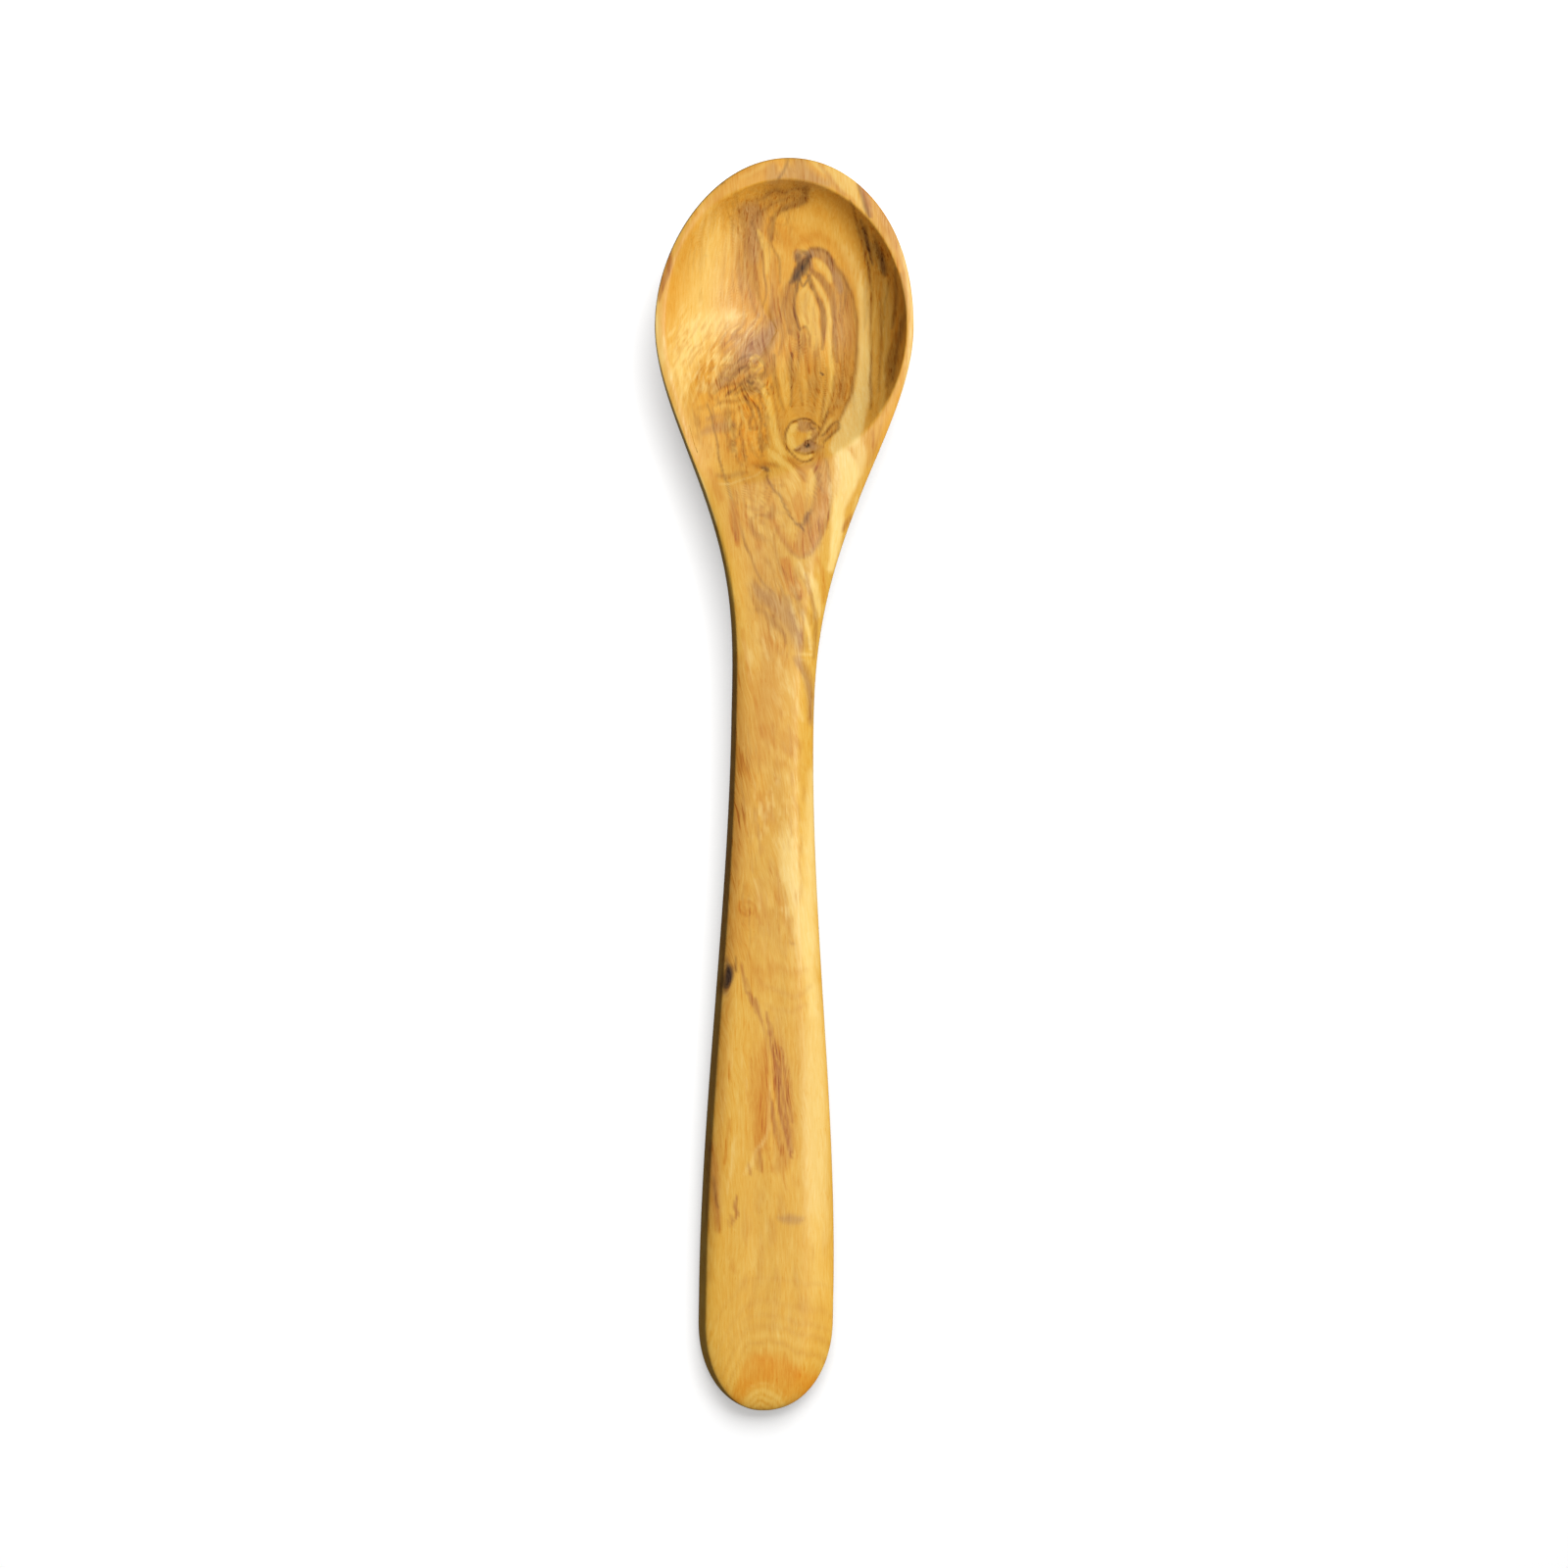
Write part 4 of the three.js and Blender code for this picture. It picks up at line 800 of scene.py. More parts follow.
    ("dark", 0.6, 0.8, [(-11.8, -40.8, 0.3), (-11.4, -44, 1.2), (-12.2, -48.4, 0.7)]),
    ("pith", 0.9, 0.7, [(-11.2, -42.8, 0.7), (-11.1, -44.6, 1.2), (-11.7, -46.8, 0.8)]),
    ("umber", 0.75, 0.3, [(-9.5, -40.8, 0.25), (-9.4, -42.6, 0.35), (-9.2, -44, 0.25)]),
    ("russet", 0.7, 0.35, [(-8.2, -42.2, 0.25), (-7.8, -44.6, 0.35), (-7.4, -47, 0.35), (-6.9, -49.5, 0.25)]),
    # russet streak
    ("russet", 0.75, 0.4, [(-6.4, -49.4, 0.35), (-5.9, -51, 0.5), (-5.4, -52.3, 0.3)]),
    ("russet", 0.8, 0.4, [(-4.8, -50.2, 0.3), (-4.3, -52.2, 0.55), (-3.6, -54.2, 0.45), (-2.9, -55.8, 0.3)]),
    ("russet", 0.85, 0.35, [(-1.7, -53.8, 0.3), (-1.4, -56, 0.4), (-1, -58.6, 0.4)]),
    ("russet", 0.5, 0.4, [(-2.9, -55.8, 0.3), (-2.2, -59, 0.35), (-1.8, -63, 0.35), (-1.8, -68, 0.3)]),
    ("amber", 0.6, 1.8, [(-2.8, -61, 0.4), (-3, -69, 1.6), (-3, -77, 2.3), (-3.3, -86, 1.4)]),
    ("amber", 0.85, 1.2, [(-2.4, -63, 0.2), (-2.3, -69, 0.9), (-2.3, -75, 1.5), (-2.5, -80, 1.6),
        (-3, -85, 1.1)]),
    ("amber", 0.45, 1.4, [(1.6, -60, 0.5), (3, -70, 1.1), (3.8, -80, 1.6), (3, -90, 1.4)]),
    ("tan", 0.5, 1.4, [(0.8, -55, 0.4), (2, -63, 1), (3, -72, 1.6), (3.2, -80, 2), (2.6, -87, 2),
        (1.8, -91, 1.3)]),
    ("russet", 0.95, 0.35, [(-1.2, -58, 0.3), (-0.6, -61.5, 0.4), (0, -65, 0.5), (0.5, -68.5, 0.65),
        (1, -72, 0.6), (1.6, -75.5, 0.5), (2.4, -79.5, 0.45), (3.2, -83, 0.35), (4, -86.2, 0.3),
        (4.7, -88.6, 0.25)]),
    ("russet", 0.85, 0.3, [(0.6, -66, 0.25), (1.7, -70, 0.4), (2.6, -74, 0.35), (3.5, -79, 0.35),
        (4.2, -83.6, 0.3), (4.8, -87, 0.25)]),
    ("russet", 0.75, 0.35, [(-0.2, -75, 0.3), (0.1, -78, 0.45), (0.5, -81.5, 0.4), (0.8, -84, 0.2)]),
    ("russet", 0.5, 0.3, [(-6.9, -46, 0.2), (-5.8, -50, 0.3), (-4.6, -54, 0.2)]),
    ("russet", 0.8, 0.3, [(-0.6, -56, 0.2), (0.2, -60, 0.3), (1.2, -65, 0.3), (2, -69, 0.2)]),
    ("russet", 0.8, 0.3, [(1.8, -62, 0.2), (2.8, -68, 0.3), (3.8, -74, 0.3), (4.9, -80, 0.2)]),
    ("russet", 0.45, 0.3, [(1, -80, 0.2), (1.6, -84, 0.3), (2.2, -88, 0.2)]),
    ("straw", 0.4, 0.3, [(-0.7, -69, 0.2), (-1, -75, 0.3), (-1.1, -80, 0.3), (-1.6, -83, 0.35),
        (-2.6, -85.4, 0.4), (-4, -86.8, 0.4), (-4.6, -88.6, 0.35), (-5.4, -90.6, 0.35), (-6.6, -92.8, 0.3)]),
    ("russet", 0.5, 0.3, [(-4, -86.9, 0.2), (-4, -89.4, 0.3), (-4, -91, 0.2)]),
    ("russet", 0.7, 0.3, [(-3.4, -86.3, 0.25), (-3, -89.4, 0.35), (-2.8, -92.2, 0.25)]),
    ("russet", 0.6, 0.3, [(-5.6, -90.2, 0.2), (-5.2, -92.4, 0.3)]),
    ("amber", 0.5, 0.4, [(-5.5, -64.5, 0.25), (-5.3, -68, 0.35), (-5.3, -73, 0.3)]),
    ("pale", 0.2, 1, [(-9.2, -51, 0.6), (-9.8, -58, 1.6), (-9.2, -66, 1.8), (-9.2, -76, 1.9),
        (-9.4, -86, 1.7), (-9.8, -93, 1.2), (-9.8, -98, 0.6)]),
    ("straw", 0.4, 0.4, [(-8.8, -84, 0.3), (-9.4, -89, 0.4), (-10.4, -94, 0.4), (-10.8, -97, 0.25)]),
    ("amber", 0.6, 0.35, [(-10.6, -65.4, 0.25), (-10.7, -70, 0.3)]),
    ("amber", 0.75, 0.35, [(-10.4, -79.4, 0.25), (-10.7, -83, 0.35), (-11, -86, 0.35), (-11.6, -89.6, 0.25)]),
    ("russet", 0.65, 0.9, [(-14.6, -85, 0.4), (-14.1, -91, 0.8), (-13.7, -97, 0.9), (-13.2, -102, 0.8),
        (-12.8, -106, 0.5)]),
    ("umber", 0.6, 0.35, [(-14, -93.4, 0.25), (-13.6, -97.4, 0.35), (-13, -100.4, 0.25)]),
    # flared end with its growth rings
    ("russet", 0.8, 0.3, [(-8.3, -97.8, 0.25), (-8.7, -100, 0.45), (-8.2, -101.6, 0.45),
        (-8.9, -103.2, 0.2)]),
    ("russet", 0.65, 0.3, [(-9.5, -102.2, 0.2), (-9.3, -104.4, 0.3)]),
    ("russet", 0.5, 0.3, [(-10.2, -103.6, 0.2), (-10.1, -105, 0.25)]),
    ("mauve", 0.6, 0.9, [(2, -103, 0.5), (4.2, -103.6, 1.1), (6, -103.4, 1.1), (7.6, -103.2, 0.5)]),
    ("amber", 0.6, 0.6, [(-9.3, -113, 0.35), (-9.2, -115, 0.7), (-8.4, -116, 0.35)]),
]

# Patches of short flecks: ink, strength, centre, half sizes, turn of the fibres to the right in degrees, and
# a fleck's width and length. The straw flecks, and the pale clouds on the handle's middle, are painted
# highlight: the sheen where curled fibres catch the light. The others are the wood's own flecks where fibres
# lie dense.
fleckPatches = [
    # painted highlight: the glint on the bowl's left wall, in flecks, with darker ones among them
    ("straw", 0.75, (-18.5, 107), (12, 10), 32, (0.6, 3.4)),
    ("straw", 0.6, (-21, 101), (9, 10), 20, (0.8, 4)),
    ("straw", 0.4, (-26, 101), (5, 14), 12, (0.7, 4)),
    ("tan", 0.45, (-15, 104), (11, 10), 34, (0.5, 4)),
    ("amber", 0.35, (-20, 104), (9, 11), 30, (0.7, 2.4)),
    ("straw", 0.5, (-21, 104), (9, 11), 30, (0.5, 1.8)),
    ("straw", 0.45, (-9, 110.5), (6, 5), 35, (0.6, 3)),
    ("brown", 0.55, (-7.5, 106), (8, 7), 40, (0.7, 4)),
    ("umber", 0.5, (-8, 97.5), (8, 5), 50, (0.9, 2.4)),
    ("pale", 0.15, (-10, 96), (9, 6), 55, (0.7, 2.4)),
    ("mauve", 0.6, (-9, 99), (9, 6), 45, (1, 4)),
    ("umber", 0.5, (-8, 86), (7, 11), -4, (0.7, 4)),
    ("pale", 0.5, (-8, 85), (7, 11), -4, (0.7, 4)),
    ("brown", 0.5, (-17, 88), (6, 8), -12, (0.7, 4)),
    ("umber", 0.25, (-6, 137), (10, 8), -20, (0.7, 6)),
    ("brown", 0.45, (-6, 122), (7, 13), -6, (0.6, 9)),
    ("brown", 0.2, (-16, 126), (10, 14), 0, (0.6, 9)),
    ("straw", 0.3, (-15, 126), (10, 14), 0, (0.5, 9)),
    ("umber", 0.25, (7, 98), (7, 10), 2, (0.6, 8)),
    ("pale", 0.45, (7, 101), (8, 13), 2, (0.5, 8)),
    ("umber", 0.4, (16, 106), (4, 19), 4, (0.5, 12)),
    ("umber", 0.25, (24.5, 114), (4.5, 24), 6, (0.7, 12)),
    ("pale", 0.4, (24, 108), (4, 20), 6, (0.5, 10)),
    ("umber", 0.35, (8.8, 68), (4, 13), -4, (0.8, 7)),
    ("tan", 0.5, (-3, 63), (9, 10), -20, (0.8, 4)),
    ("pale", 0.5, (-3, 66), (9, 10), -20, (0.7, 3)),
    ("amber", 0.4, (-6, 62), (9, 12), -15, (2.4, 5)),
    ("pale", 0.45, (-5, 64), (9, 11), -15, (2.2, 4)),
    # painted highlight on the right shoulder
    ("straw", 0.45, (15, 72), (5, 12), -6, (0.7, 5)),
    ("brown", 0.35, (0, 46), (10, 12), -25, (0.7, 5)),
    # painted highlight from here to the handle's middle: straw flecks and pale clouds of sheen, with amber
    # between
    ("straw", 0.4, (6, 44), (5, 14), -18, (0.6, 4)),
    ("straw", 0.4, (-4, 32), (6, 9), -12, (0.7, 5)),
    ("straw", 0.3, (3, 22), (5, 9), -22, (0.6, 3)),
    ("amber", 0.35, (0, 6), (9, 14), -30, (2.8, 4.5)),
    ("pale", 0.45, (0, 4), (9, 12), -30, (2.4, 4.5)),
    ("amber", 0.35, (-2, -34), (9, 14), -20, (2.6, 5)),
    ("pale", 0.45, (2, -30), (8, 16), -20, (2.6, 5)),
    ("straw", 0.4, (0, -6), (9, 12), -8, (0.6, 2.6)),
    ("straw", 0.5, (4.6, -22), (5, 18), -4, (0.5, 2.4)),
    ("straw", 0.45, (8, -37), (3.5, 9), -18, (0.7, 3)),
    ("tan", 0.4, (0, -10), (9, 40), -6, (0.8, 4)),
    ("brown", 0.35, (-7, -12), (4, 34), -4, (0.6, 6)),
    ("russet", 0.3, (2, -76), (4, 18), -8, (0.4, 9)),
    ("amber", 0.6, (2.4, -90), (5, 8), -6, (0.5, 6)),
    ("amber", 0.4, (-3, -75), (5, 22), -6, (0.5, 10)),
    ("straw", 0.2, (-9, -75), (4, 26), 0, (0.6, 10)),
    ("tan", 0.3, (2, -112), (14, 22), 0, (1.4, 6)),
    ("pale", 0.4, (3, -115), (13, 22), 0, (1.2, 5)),
    ("amber", 0.5, (0, -140), (8, 7), 2, (0.5, 7)),
]

# Patches of fine lines that curl as in a burl: ink, strength, centre, half sizes, size of a curl and
# lines to a curl.
curlPatches = [
    ("umber", 0.25, (-9, 97), (10, 9), (6, 5), 2.2),
    ("pale", 0.15, (-10, 95), (10, 8), (6, 4), 2),
    ("umber", 0.35, (-8, 85), (6.5, 11), (3.2, 10), 2.2),
    ("brown", 0.25, (-17, 94), (7, 10), (5, 12), 2),
    ("brown", 0.5, (-5, 67), (9, 10), (6, 9), 2),
    ("brown", 0.35, (8.5, 70), (4, 12), (4, 16), 2),
    ("brown", 0.35, (-5, 136), (10, 8), (6, 7), 2.4),
    ("brown", 0.35, (8, 104), (9, 18), (4, 24), 1.8),
    ("brown", 0.35, (1, 42), (10, 14), (5, 12), 2),
]

# Patches of fine dark threads along the fibres: strength, centre, half sizes.
threadPatches = [
    (0.6, (2, -74), (5, 22)),
    (0.5, (-9, -76), (4, 24)),
    (0.6, (-7, -50), (3, 9)),
    (0.15, (8.6, 68), (4.4, 14)),
    (0.4, (-8, 96), (11, 9)),
    (0.6, (23.5, 126), (5, 16)),
    (0.2, (-6, 134), (9, 12)),
    (0.15, (0, 42), (10, 14)),
    (0.3, (-7, -14), (5, 34)),
]

# Growth rings cut across at the handle's end: ink, strength, distance from the end on the middle line
# and half width.
rings = [
    ("tan", 0.2, 33, 0.5),
    ("tan", 0.2, 27, 0.8),
    ("tan", 0.25, 23.6, 0.5),
    ("tan", 0.3, 21, 0.6),
    ("pale", 0.5, 18.9, 0.5),
    ("tan", 0.4, 17.2, 0.4),
    ("pale", 0.3, 15.9, 0.3),
    ("orange", 1, 10.2, 4),
    ("pale", 0.5, 6.9, 0.15),
    ("pale", 0.9, 5.1, 0.5),
    ("amber", 0.4, 4.3, 0.2),
    ("pale", 0.6, 3.6, 0.35),
    ("amber", 0.6, 2.7, 0.25),
    ("pale", 0.5, 1.9, 0.3),
    ("amber", 0.5, 1, 0.3),
]

# The wood's own noises: strength, cell across and along in millimetres, shift of the cells across with
# height, and seed.
noises = {
    "sway": (0.3, 2.6, 6, 0.3, 1),
    "shiver": (0.12, 0.9, 2.2, 0, 2),
    "stretch": (0.5, 2.2, 5, 0, 3),
    "tone": (0.06, 5, 26, 0.2, 4),
    "fineTone": (0.03, 1.6, 15, 0.5, 5),
    "drift": (1, 7, 14, 0, 6),
    "fibre": (1, 0.8, 7, 0, 9),
    "lean": (0.8, 4, 9, 0, 11),
    "ringWaver": (0.25, 3, 3, 0, 12),
    "ringTone": (0.3, 2.5, 4, 0, 13),
    "backStreak": (1, 1.6, 40, 0.3, 14),
    "backFibre": (0.5, 0.8, 26, 0.6, 15),
}

# How the tables above are drawn; lengths in millimetres.
drawing = {
    "backSlope": -0.55,  # upward part of the normal up to which only the back's figure shows
    "topSlope": 0.1,  # and from which only the drawn one does
    "fibreLean": 0.12,  # the fibres lean across by this share of the length
    "honeyFrom": 55,  # the plain wood turns from gold to honey between these
    "honeyFull": 92,
    "brushMargin": 1,  # only points this near to a brush path's reach are looked at
    "brushCover": 0.95,
    "brushFibre": 0.3,  # how unevenly the fibres take a marking, less where it is soft
    "fleckSeed": 7,
    "smallFleck": 0.6,  # smaller flecks among the others: strength, cells to one across and along, seed
    "smallFleckAcross": 2.3,
    "smallFleckAlong": 1.7,
    "smallFleckSeed": 8,
    "fleckFrom": 0.1,  # height of the noise at which a fleck begins and is full
    "fleckFull": 0.9,
    "fleckFade": 0.35,  # squared share of a patch from which it fades out
    "curlSeed": 20,
    "smallCurl": 0.4,  # the same for curls
    "smallCurlCells": 2.1,
    "smallCurlSeed": 40,
    "curlFrom": 0.75,
    "curlFade": 0.3,
    "curlCover": 0.7,
    "curlFibre": 0.6,
    "ringMiddle": -1.2,  # rings: their middle line, how steep they are there, at the left and at the right
    "ringSteep": 1.7,
    "ringLeft": (1.5, 3, 7),  # added steepness, and the distances over which it sets in
    "ringRight": (-0.45, 6, 14),
    "ringSoft": 0.25,
    "ringSoftShare": 0.35,  # of the half width
    "ringCover": 0.85,
    "backCover": 0.6,
    "backFull": 1.1,
    "denseFrom": 1.5,
    "denseFall": 1.6,  # how fast density falls with the green part of the colour
    "threadFade": 0.3,
}


# Smooth path through a marking's points, several steps to each span: a cubic through the middle two of
# each four points that passes them in the direction of their neighbours.
def smoothPath(points, steps=5):
    points = np.array(points, float)
    held = np.concatenate([2 * points[:1] - points[1:2], points, 2 * points[-1:] - points[-2:-1]])
    a, b, c, d = held[:-3], held[1:-2], held[2:-1], held[3:]
    t = np.linspace(0, 1, steps, endpoint=False)[:, None, None]
    bend, twist = 2 * a - 5 * b + 4 * c - d, 3 * b - a - 3 * c + d
    curve = (2 * b + (c - a) * t + bend * t**2 + twist * t**3) / 2
    return np.concatenate([curve.swapaxes(0, 1).reshape(-1, 3), points[-1:]])


# How strongly a brush path covers each point: its half width less the distance to it, softened.
def brushCover(x, y, points, soft):
    path = smoothPath(points)
    start, step = path[:-1, :2], np.diff(path[:, :2], axis=0)
    fromX, fromY = x[:, None] - start[:, 0], y[:, None] - start[:, 1]
    along = np.clip((fromX * step[:, 0] + fromY * step[:, 1]) / (step**2).sum(1), 0, 1)
    away = np.hypot(fromX - along * step[:, 0], fromY - along * step[:, 1])
    return rise((between(path[:-1, 2], path[1:, 2], along) - away).max(1), -soft, soft)


# Smooth noise from -1 to 1 on a square lattice of random heights.
def latticeNoise(x, y, seed, size=128):
    heights = np.random.default_rng(seed).uniform(-1, 1, (size, size))
    column, row = np.floor(x).astype(int), np.floor(y).astype(int)
    left, right, lower, upper = column % size, (column + 1) % size, row % size, (row + 1) % size
    tx, ty = rise(x - column, 0, 1), rise(y - row, 0, 1)
    below = between(heights[lower, left], heights[lower, right], tx)
    above = between(heights[upper, left], heights[upper, right], tx)
    return between(below, above, ty)


# Squared distance from the middle of an oval patch, 1 on its border.
def patchShare(x, y, centre, halfSizes):
    return ((x - centre[0]) / halfSizes[0]) ** 2 + ((y - centre[1]) / halfSizes[1]) ** 2


skin = carvedSpoon.data
pointCount = len(skin.vertices)
places, normals = np.empty(pointCount * 3, np.float32), np.empty(pointCount * 3, np.float32)
skin.vertices.foreach_get("co", places)
skin.vertices.foreach_get("normal", normals)
x, y, z = places.reshape(-1, 3).T.astype(float) / mm
upwardShare = rise(normals.reshape(-1, 3)[:, 2], drawing["backSlope"], drawing["topSlope"])
everywhere = slice(None)


# One of the wood's own noises at every point of the skin.
def woodNoise(name, across=x, along=y):
    strength, wide, long, shift, seed = noises[name]
    return strength * latticeNoise(across / wide + shift * z, along / long, seed)


# Mixes an ink into the figure at the chosen points, by how strongly it covers each of them.
def layInk(ink, chosen, cover):
    figure[chosen] += (inks[ink] - figure[chosen]) * cover[:, None]


# Plain wood. The markings waver with the fibres, which take the colour unevenly.
waverX = x + woodNoise("sway") + woodNoise("shiver")
waverY = y + woodNoise("stretch", along=y + z)  # height counts as length here
fibreShare = woodNoise("fibre", across=x + drawing["fibreLean"] * y)
honeyShare = rise(y, drawing["honeyFrom"], drawing["honeyFull"])[:, None]
figure = between(inks["gold"], inks["honey"], honeyShare)
figure[:, :3] *= 1 + (woodNoise("tone") + woodNoise("fineTone"))[:, None]
# The markings are laid over the plain wood in turn.
for ink, strength, soft, points in bowlMarkings + handleMarkings:
    least, most = np.min(points, 0), np.max(points, 0)
    margin = most[2] + soft + drawing["brushMargin"]
    nearX = (waverX > least[0] - margin) & (waverX < most[0] + margin)
    nearY = (waverY > least[1] - margin) & (waverY < most[1] + margin)
    near = np.nonzero(nearX & nearY)[0]
    cover = brushCover(waverX[near], waverY[near], points, soft) * strength * upwardShare[near]
    uneven = drawing["brushCover"] + drawing["brushFibre"] / (1 + soft) * fibreShare[near]
    layInk(ink, near, np.clip(cover * uneven, 0, 1))
# Flecks are the hills of a noise that is turned with the fibres.
for ink, strength, centre, halfSizes, turn, (wide, long) in fleckPatches:
    away = patchShare(waverX, waverY, centre, halfSizes)
    near = np.nonzero(away < 1)[0]
    right, up = waverX[near] - centre[0], waverY[near] - centre[1]
    cosine, sine = math.cos(math.radians(turn)), math.sin(math.radians(turn))
    across, along = (right * cosine - up * sine) / wide, (right * sine + up * cosine) / long
    fleck = latticeNoise(across, along, drawing["fleckSeed"] + len(ink) + int(wide * 10))
    across, along = drawing["smallFleckAcross"] * across, drawing["smallFleckAlong"] * along
    fleck += drawing["smallFleck"] * latticeNoise(across, along, drawing["smallFleckSeed"])
    fleck = rise(fleck, drawing["fleckFrom"], drawing["fleckFull"])
    cover = fleck * rise(away[near], 1, drawing["fleckFade"])
    layInk(ink, near, cover * strength * upwardShare[near])
# Curls are lines of equal height on the hills of a noise.
for number, (ink, strength, centre, halfSizes, (wide, long), lines) in enumerate(curlPatches):
    away = patchShare(x, y, centre, halfSizes)
    near = np.nonzero(away < 1)[0]
    across, along = x[near] / wide, y[near] / long
    hills = latticeNoise(across, along, drawing["curlSeed"] + number)
    across, along = drawing["smallCurlCells"] * across, drawing["smallCurlCells"] * along
    hills += drawing["smallCurl"] * latticeNoise(across, along, drawing["smallCurlSeed"] + number)
    contour = rise(np.abs(np.sin(np.pi * lines * hills)), drawing["curlFrom"], 1)
    uneven = drawing["curlCover"] + drawing["curlFibre"] * fibreShare[near]
    cover = contour * rise(away[near], 1, drawing["curlFade"]) * uneven
    layInk(ink, near, cover * strength * upwardShare[near])
# A ring is a parabola about the middle line, the wider the farther from the end, and steeper at the left.
fromEnd = waverY + spoon["length"] / 2
fromMiddle = x - drawing["ringMiddle"]
steep = drawing["ringSteep"]
for name, side in (("ringLeft", -1), ("ringRight", 1)):
    added, start, end = drawing[name]
    steep = steep + added * rise(side * fromMiddle, start, end)
ringOf = (fromEnd + np.hypot(fromEnd, steep * fromMiddle)) / 2 + woodNoise("ringWaver")
ringCover = drawing["ringCover"] + woodNoise("ringTone")
for ink, strength, ring, half in rings:
    soft = drawing["ringSoft"] + drawing["ringSoftShare"] * half
    cover = rise(half - np.abs(ringOf - ring), -soft, soft) * ringCover
    layInk(ink, everywhere, cover * strength * upwardShare)
# The back, which the photo doesn't show, has long soft streaks along the fibres.
backStreak = rise(woodNoise("backStreak") + woodNoise("backFibre"), 0, drawing["backFull"])
layInk("brown", everywhere, drawing["backCover"] * backStreak * (1 - upwardShare))
# The fourth channel is how dense the wood is, by its darkness, and more so where it has threads.
density = np.clip(drawing["denseFrom"] - drawing["denseFall"] * figure[:, 1] / inks["gold"][1], 0, 1)
for strength, centre, halfSizes in threadPatches:
    threads = rise(patchShare(x, y, centre, halfSizes), 1, drawing["threadFade"])
    density = np.minimum(density + strength * threads, 1)
figure[:, 3] = density
figureLayer = skin.attributes.new("figure", "FLOAT_COLOR", "POINT")
figureLayer.data.foreach_set("color", figure.ravel().astype(np.float32))

# Lines of equal flow follow the fibres: they lean along the handle, part round each knot and run wild in
# the burl. A knot is (x, y, radius).
fibreFlow = {
    "knots": [(5.4, 83.3, 5), (-7, -28.5, 1.8), (-12.4, -45, 2.4), (5.6, 125, 2.2), (-6, 100, 3)],
    "knotStretch": 0.45,  # a distance along counts this much of one across
    "knotCore": 0.5,  # keeps the parting small in the middle of a knot
    "lean": 13,  # to either side at both ends
    "leanRun": 80,
    "drift": 0.5,  # everywhere, and more by the next in the burl
    "wild": 3.5,
    "burl": (-8, 94),
    "burlSpread": 150,  # square millimetres
}
flow = x + fibreFlow["lean"] * np.tanh(y / fibreFlow["leanRun"]) + woodNoise("lean")
for knotX, knotY, radius in fibreFlow["knots"]:
    apart = (x - knotX) ** 2 + (fibreFlow["knotStretch"] * (y - knotY)) ** 2
    flow -= (x - knotX) * radius**2 / (apart + fibreFlow["knotCore"] * radius**2)
burlX, burlY = fibreFlow["burl"]
burl = np.exp(-((x - burlX) ** 2 + (y - burlY) ** 2) / fibreFlow["burlSpread"])
flow += (fibreFlow["drift"] + fibreFlow["wild"] * burl) * woodNoise("drift")
grain = np.stack([flow, y, z], -1)
grainLayer = skin.attributes.new("grain", "FLOAT_VECTOR", "POINT")
grainLayer.data.foreach_set("vector", grain.ravel().astype(np.float32))
print("figure drawn:", len(bowlMarkings) + len(handleMarkings), "markings")

# Olive wood, sanded and oiled: satin, with fine fibres that darken to a warmer tone and short pores.
oiled = {
    "ior": 1.47,
    "specular": 0.25,  # oil sinks in, so the film is thin
    "streakFrom": 0.56,
    "streakFull": 0.68,
    "streakPower": 0.65,
    "poreFrom": 0.68,
    "plainPower": 0.46,
    "broadPower": 0.24,
    "porePower": 0.16,
    "finePower": 0.8,
    "fineLow": 0.3,  # the fine noise's usual range
    "fineHigh": 0.7,
    "smoothest": 0.36,
    "roughest": 0.5,
    "relief": 0.35,
    "reliefDepth": 0.05 * mm,
}
# Noises stretched along the fibres: cell in millimetres, detail and roughness. The fine ones are drawn
# about five times as coarse as real fibres, to show.
fibreNoises = {
    "fine": ((0.3, 4, 1), 4, 0.6),
    "broad": ((3, 14, 4), 3, 0.6),
    "streaks": ((0.6, 11, 1.2), 2, 0.6),
    "pores": ((0.35, 3, 0.8), 1, 0.5),
}
oliveWood = bpy.data.materials.new("oliveWoodOiled")
oliveWood.use_nodes = True
woodTree = oliveWood.node_tree
shader = woodTree.nodes["Principled BSDF"]
shader.inputs["IOR"].default_value = oiled["ior"]
shader.inputs["Specular IOR Level"].default_value = oiled["specular"]
drawn = addNode(woodTree, "ShaderNodeAttribute", {"attribute_name": "figure"})
fibres = addNode(woodTree, "ShaderNodeAttribute", {"attribute_name": "grain"}).outputs["Vector"]
noiseOf = {}
for name, (cell, detail, roughness) in fibreNoises.items():
    place = addNode(woodTree, "ShaderNodeVectorMath", {"operation": "DIVIDE"}, i0=fibres, i1=cell)
    noise = addNode(
        woodTree, "ShaderNodeTexNoise",
        Vector=place.outputs[0], Scale=1, Detail=detail, Roughness=roughness,
    )
    noiseOf[name] = noise.outputs["Fac"]
streak = addNode(
    woodTree, "ShaderNodeMapRange", Value=noiseOf["streaks"],
    i1=oiled["streakFrom"], i2=oiled["streakFull"], i3=0, i4=oiled["streakPower"],
)
pore = addNode(
    woodTree, "ShaderNodeMath", {"operation": "GREATER_THAN"}, i0=noiseOf["pores"], i1=oiled["poreFrom"]
)
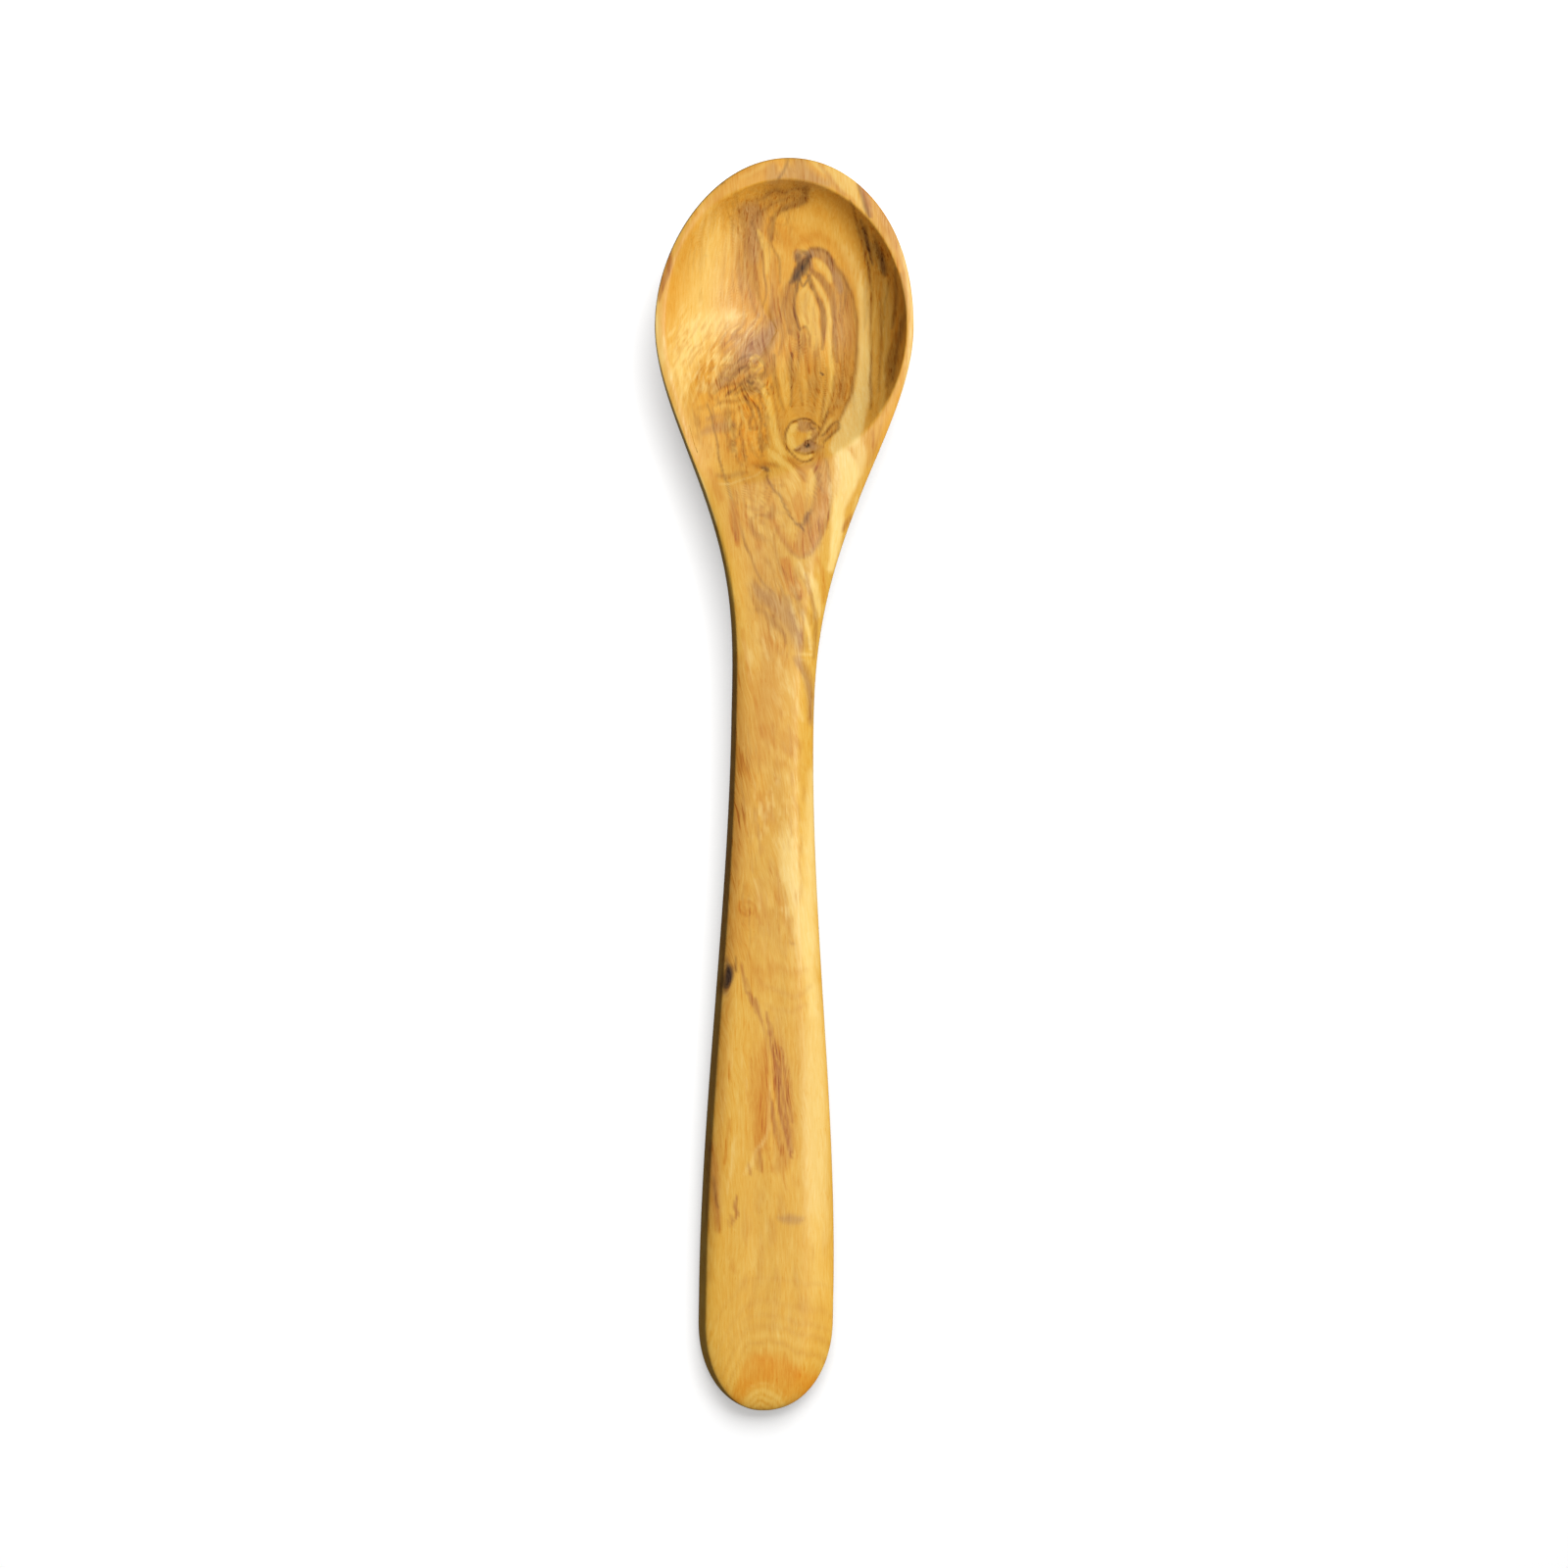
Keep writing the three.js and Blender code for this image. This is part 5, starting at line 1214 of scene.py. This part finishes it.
# A power above 1 darkens a colour and warms it, as denser late wood does. It is the sum of all noises, each
# times its weight.
weighted = [
    (noiseOf["broad"], oiled["broadPower"]),
    (pore.outputs[0], oiled["porePower"]),
    (noiseOf["fine"], oiled["finePower"]),
    (streak.outputs[0], drawn.outputs["Alpha"]),
]
power = oiled["plainPower"]
for noise, weight in weighted:
    summed = addNode(woodTree, "ShaderNodeMath", {"operation": "MULTIPLY_ADD"}, i0=noise, i1=weight, i2=power)
    power = summed.outputs[0]
toned = addNode(woodTree, "ShaderNodeGamma", Color=drawn.outputs["Color"], Gamma=power)
satin = addNode(
    woodTree, "ShaderNodeMapRange", Value=noiseOf["fine"],
    i1=oiled["fineLow"], i2=oiled["fineHigh"], i3=oiled["smoothest"], i4=oiled["roughest"],
)
relief = addNode(
    woodTree, "ShaderNodeBump", Height=noiseOf["fine"],
    Strength=oiled["relief"], Distance=oiled["reliefDepth"],
)
for socket, node in (("Base Color", toned), ("Roughness", satin), ("Normal", relief)):
    woodTree.links.new(node.outputs[0], shader.inputs[socket])
skin.materials.append(oliveWood)
print("olive wood made")

# Photo's view: almost straight down, from a little to the left.
view = {
    "tilt": math.radians(10),
    "roll": math.radians(0.5),
    "distance": 1.15,
    "pixel": 0.2342 * mm,  # what a pixel of the photo spans on the spoon
    "pixelsAcross": 1600,
    "aim": (1.48 * mm, 1.1 * mm, 15 * mm),
}
backwards = Vector((-math.sin(view["tilt"]), 0, math.cos(view["tilt"])))
sideways = Vector((-math.sin(view["roll"]), math.cos(view["roll"]), 0)).cross(backwards).normalized()
turned = Matrix((sideways, backwards.cross(sideways), backwards)).transposed().to_4x4()
camera = bpy.data.objects.new("camera", bpy.data.cameras.new("camera"))
camera.matrix_world = Matrix.Translation(Vector(view["aim"]) + backwards * view["distance"]) @ turned
camera.data.lens = camera.data.sensor_width * view["distance"] / (view["pixelsAcross"] * view["pixel"])
bpy.context.collection.objects.link(camera)
bpy.context.scene.camera = camera

# White laminate table: the eye sees it white, the light that it throws back is dim.
table = {"half": 4, "thrown": 0.08, "seen": 0.82, "glow": 0.36}  # seen and glow are for the camera alone
half = table["half"]
floorMesh = bpy.data.meshes.new("table")
corners = [(-half, -half, 0), (half, -half, 0), (half, half, 0), (-half, half, 0)]
floorMesh.from_pydata(corners, [], [(0, 1, 2, 3)])
floor = bpy.data.objects.new("table", floorMesh)
bpy.context.collection.objects.link(floor)
whiteTable = bpy.data.materials.new("whiteLaminate")
whiteTable.use_nodes = True
tableTree = whiteTable.node_tree
tableTree.nodes.clear()
toCamera = addNode(tableTree, "ShaderNodeLightPath").outputs["Is Camera Ray"]
seen = addNode(
    tableTree, "ShaderNodeMath", {"operation": "MULTIPLY_ADD"},
    i0=toCamera, i1=table["seen"], i2=table["thrown"],
)
shine = addNode(tableTree, "ShaderNodeMath", {"operation": "MULTIPLY"}, i0=toCamera, i1=table["glow"])
white = addNode(tableTree, "ShaderNodeBsdfDiffuse", Color=seen.outputs[0])
glow = addNode(tableTree, "ShaderNodeEmission", Strength=shine.outputs[0])
both = addNode(tableTree, "ShaderNodeAddShader", i0=white.outputs[0], i1=glow.outputs[0])
addNode(tableTree, "ShaderNodeOutputMaterial", Surface=both.outputs[0])
floorMesh.materials.append(whiteTable)

# A softbox from the right lights the spoon alone. One at the tip's side, large for its distance, lights
# the table, so that the shadow is soft, as in the photo. Their angles are in degrees.
lamps = {
    "spoonSoftbox": {
        "lit": carvedSpoon, "toTip": 12, "height": 62, "distance": 2.4, "size": 0.9, "power": 57,
    },
    "tableSoftbox": {
        "lit": floor, "toTip": 88, "height": 58, "distance": 0.7, "size": 0.6, "power": 5.6,
    },
}
for name, lamp in lamps.items():
    light = bpy.data.objects.new(name, bpy.data.lights.new(name, "AREA"))
    light.data.size = lamp["size"]
    light.data.energy = lamp["power"]
    toTip, height = math.radians(lamp["toTip"]), math.radians(lamp["height"])
    level = math.cos(height)
    towards = Vector((level * math.cos(toTip), level * math.sin(toTip), math.sin(height)))
    light.location = towards * lamp["distance"]
    light.rotation_euler = towards.to_track_quat("Z", "Y").to_euler()
    bpy.context.collection.objects.link(light)
    light.light_linking.receiver_collection = bpy.data.collections.new(name)
    light.light_linking.receiver_collection.objects.link(lamp["lit"])
room = {"Strength": 0.22, "Color": (1, 1, 1, 1)}
world = bpy.data.worlds.new("studio")
world.use_nodes = True
for name, value in room.items():
    world.node_tree.nodes["Background"].inputs[name].default_value = value
bpy.context.scene.world = world
bpy.context.scene.view_settings.view_transform = "Standard"
print("table, camera and lamps placed")

print("scene ready")
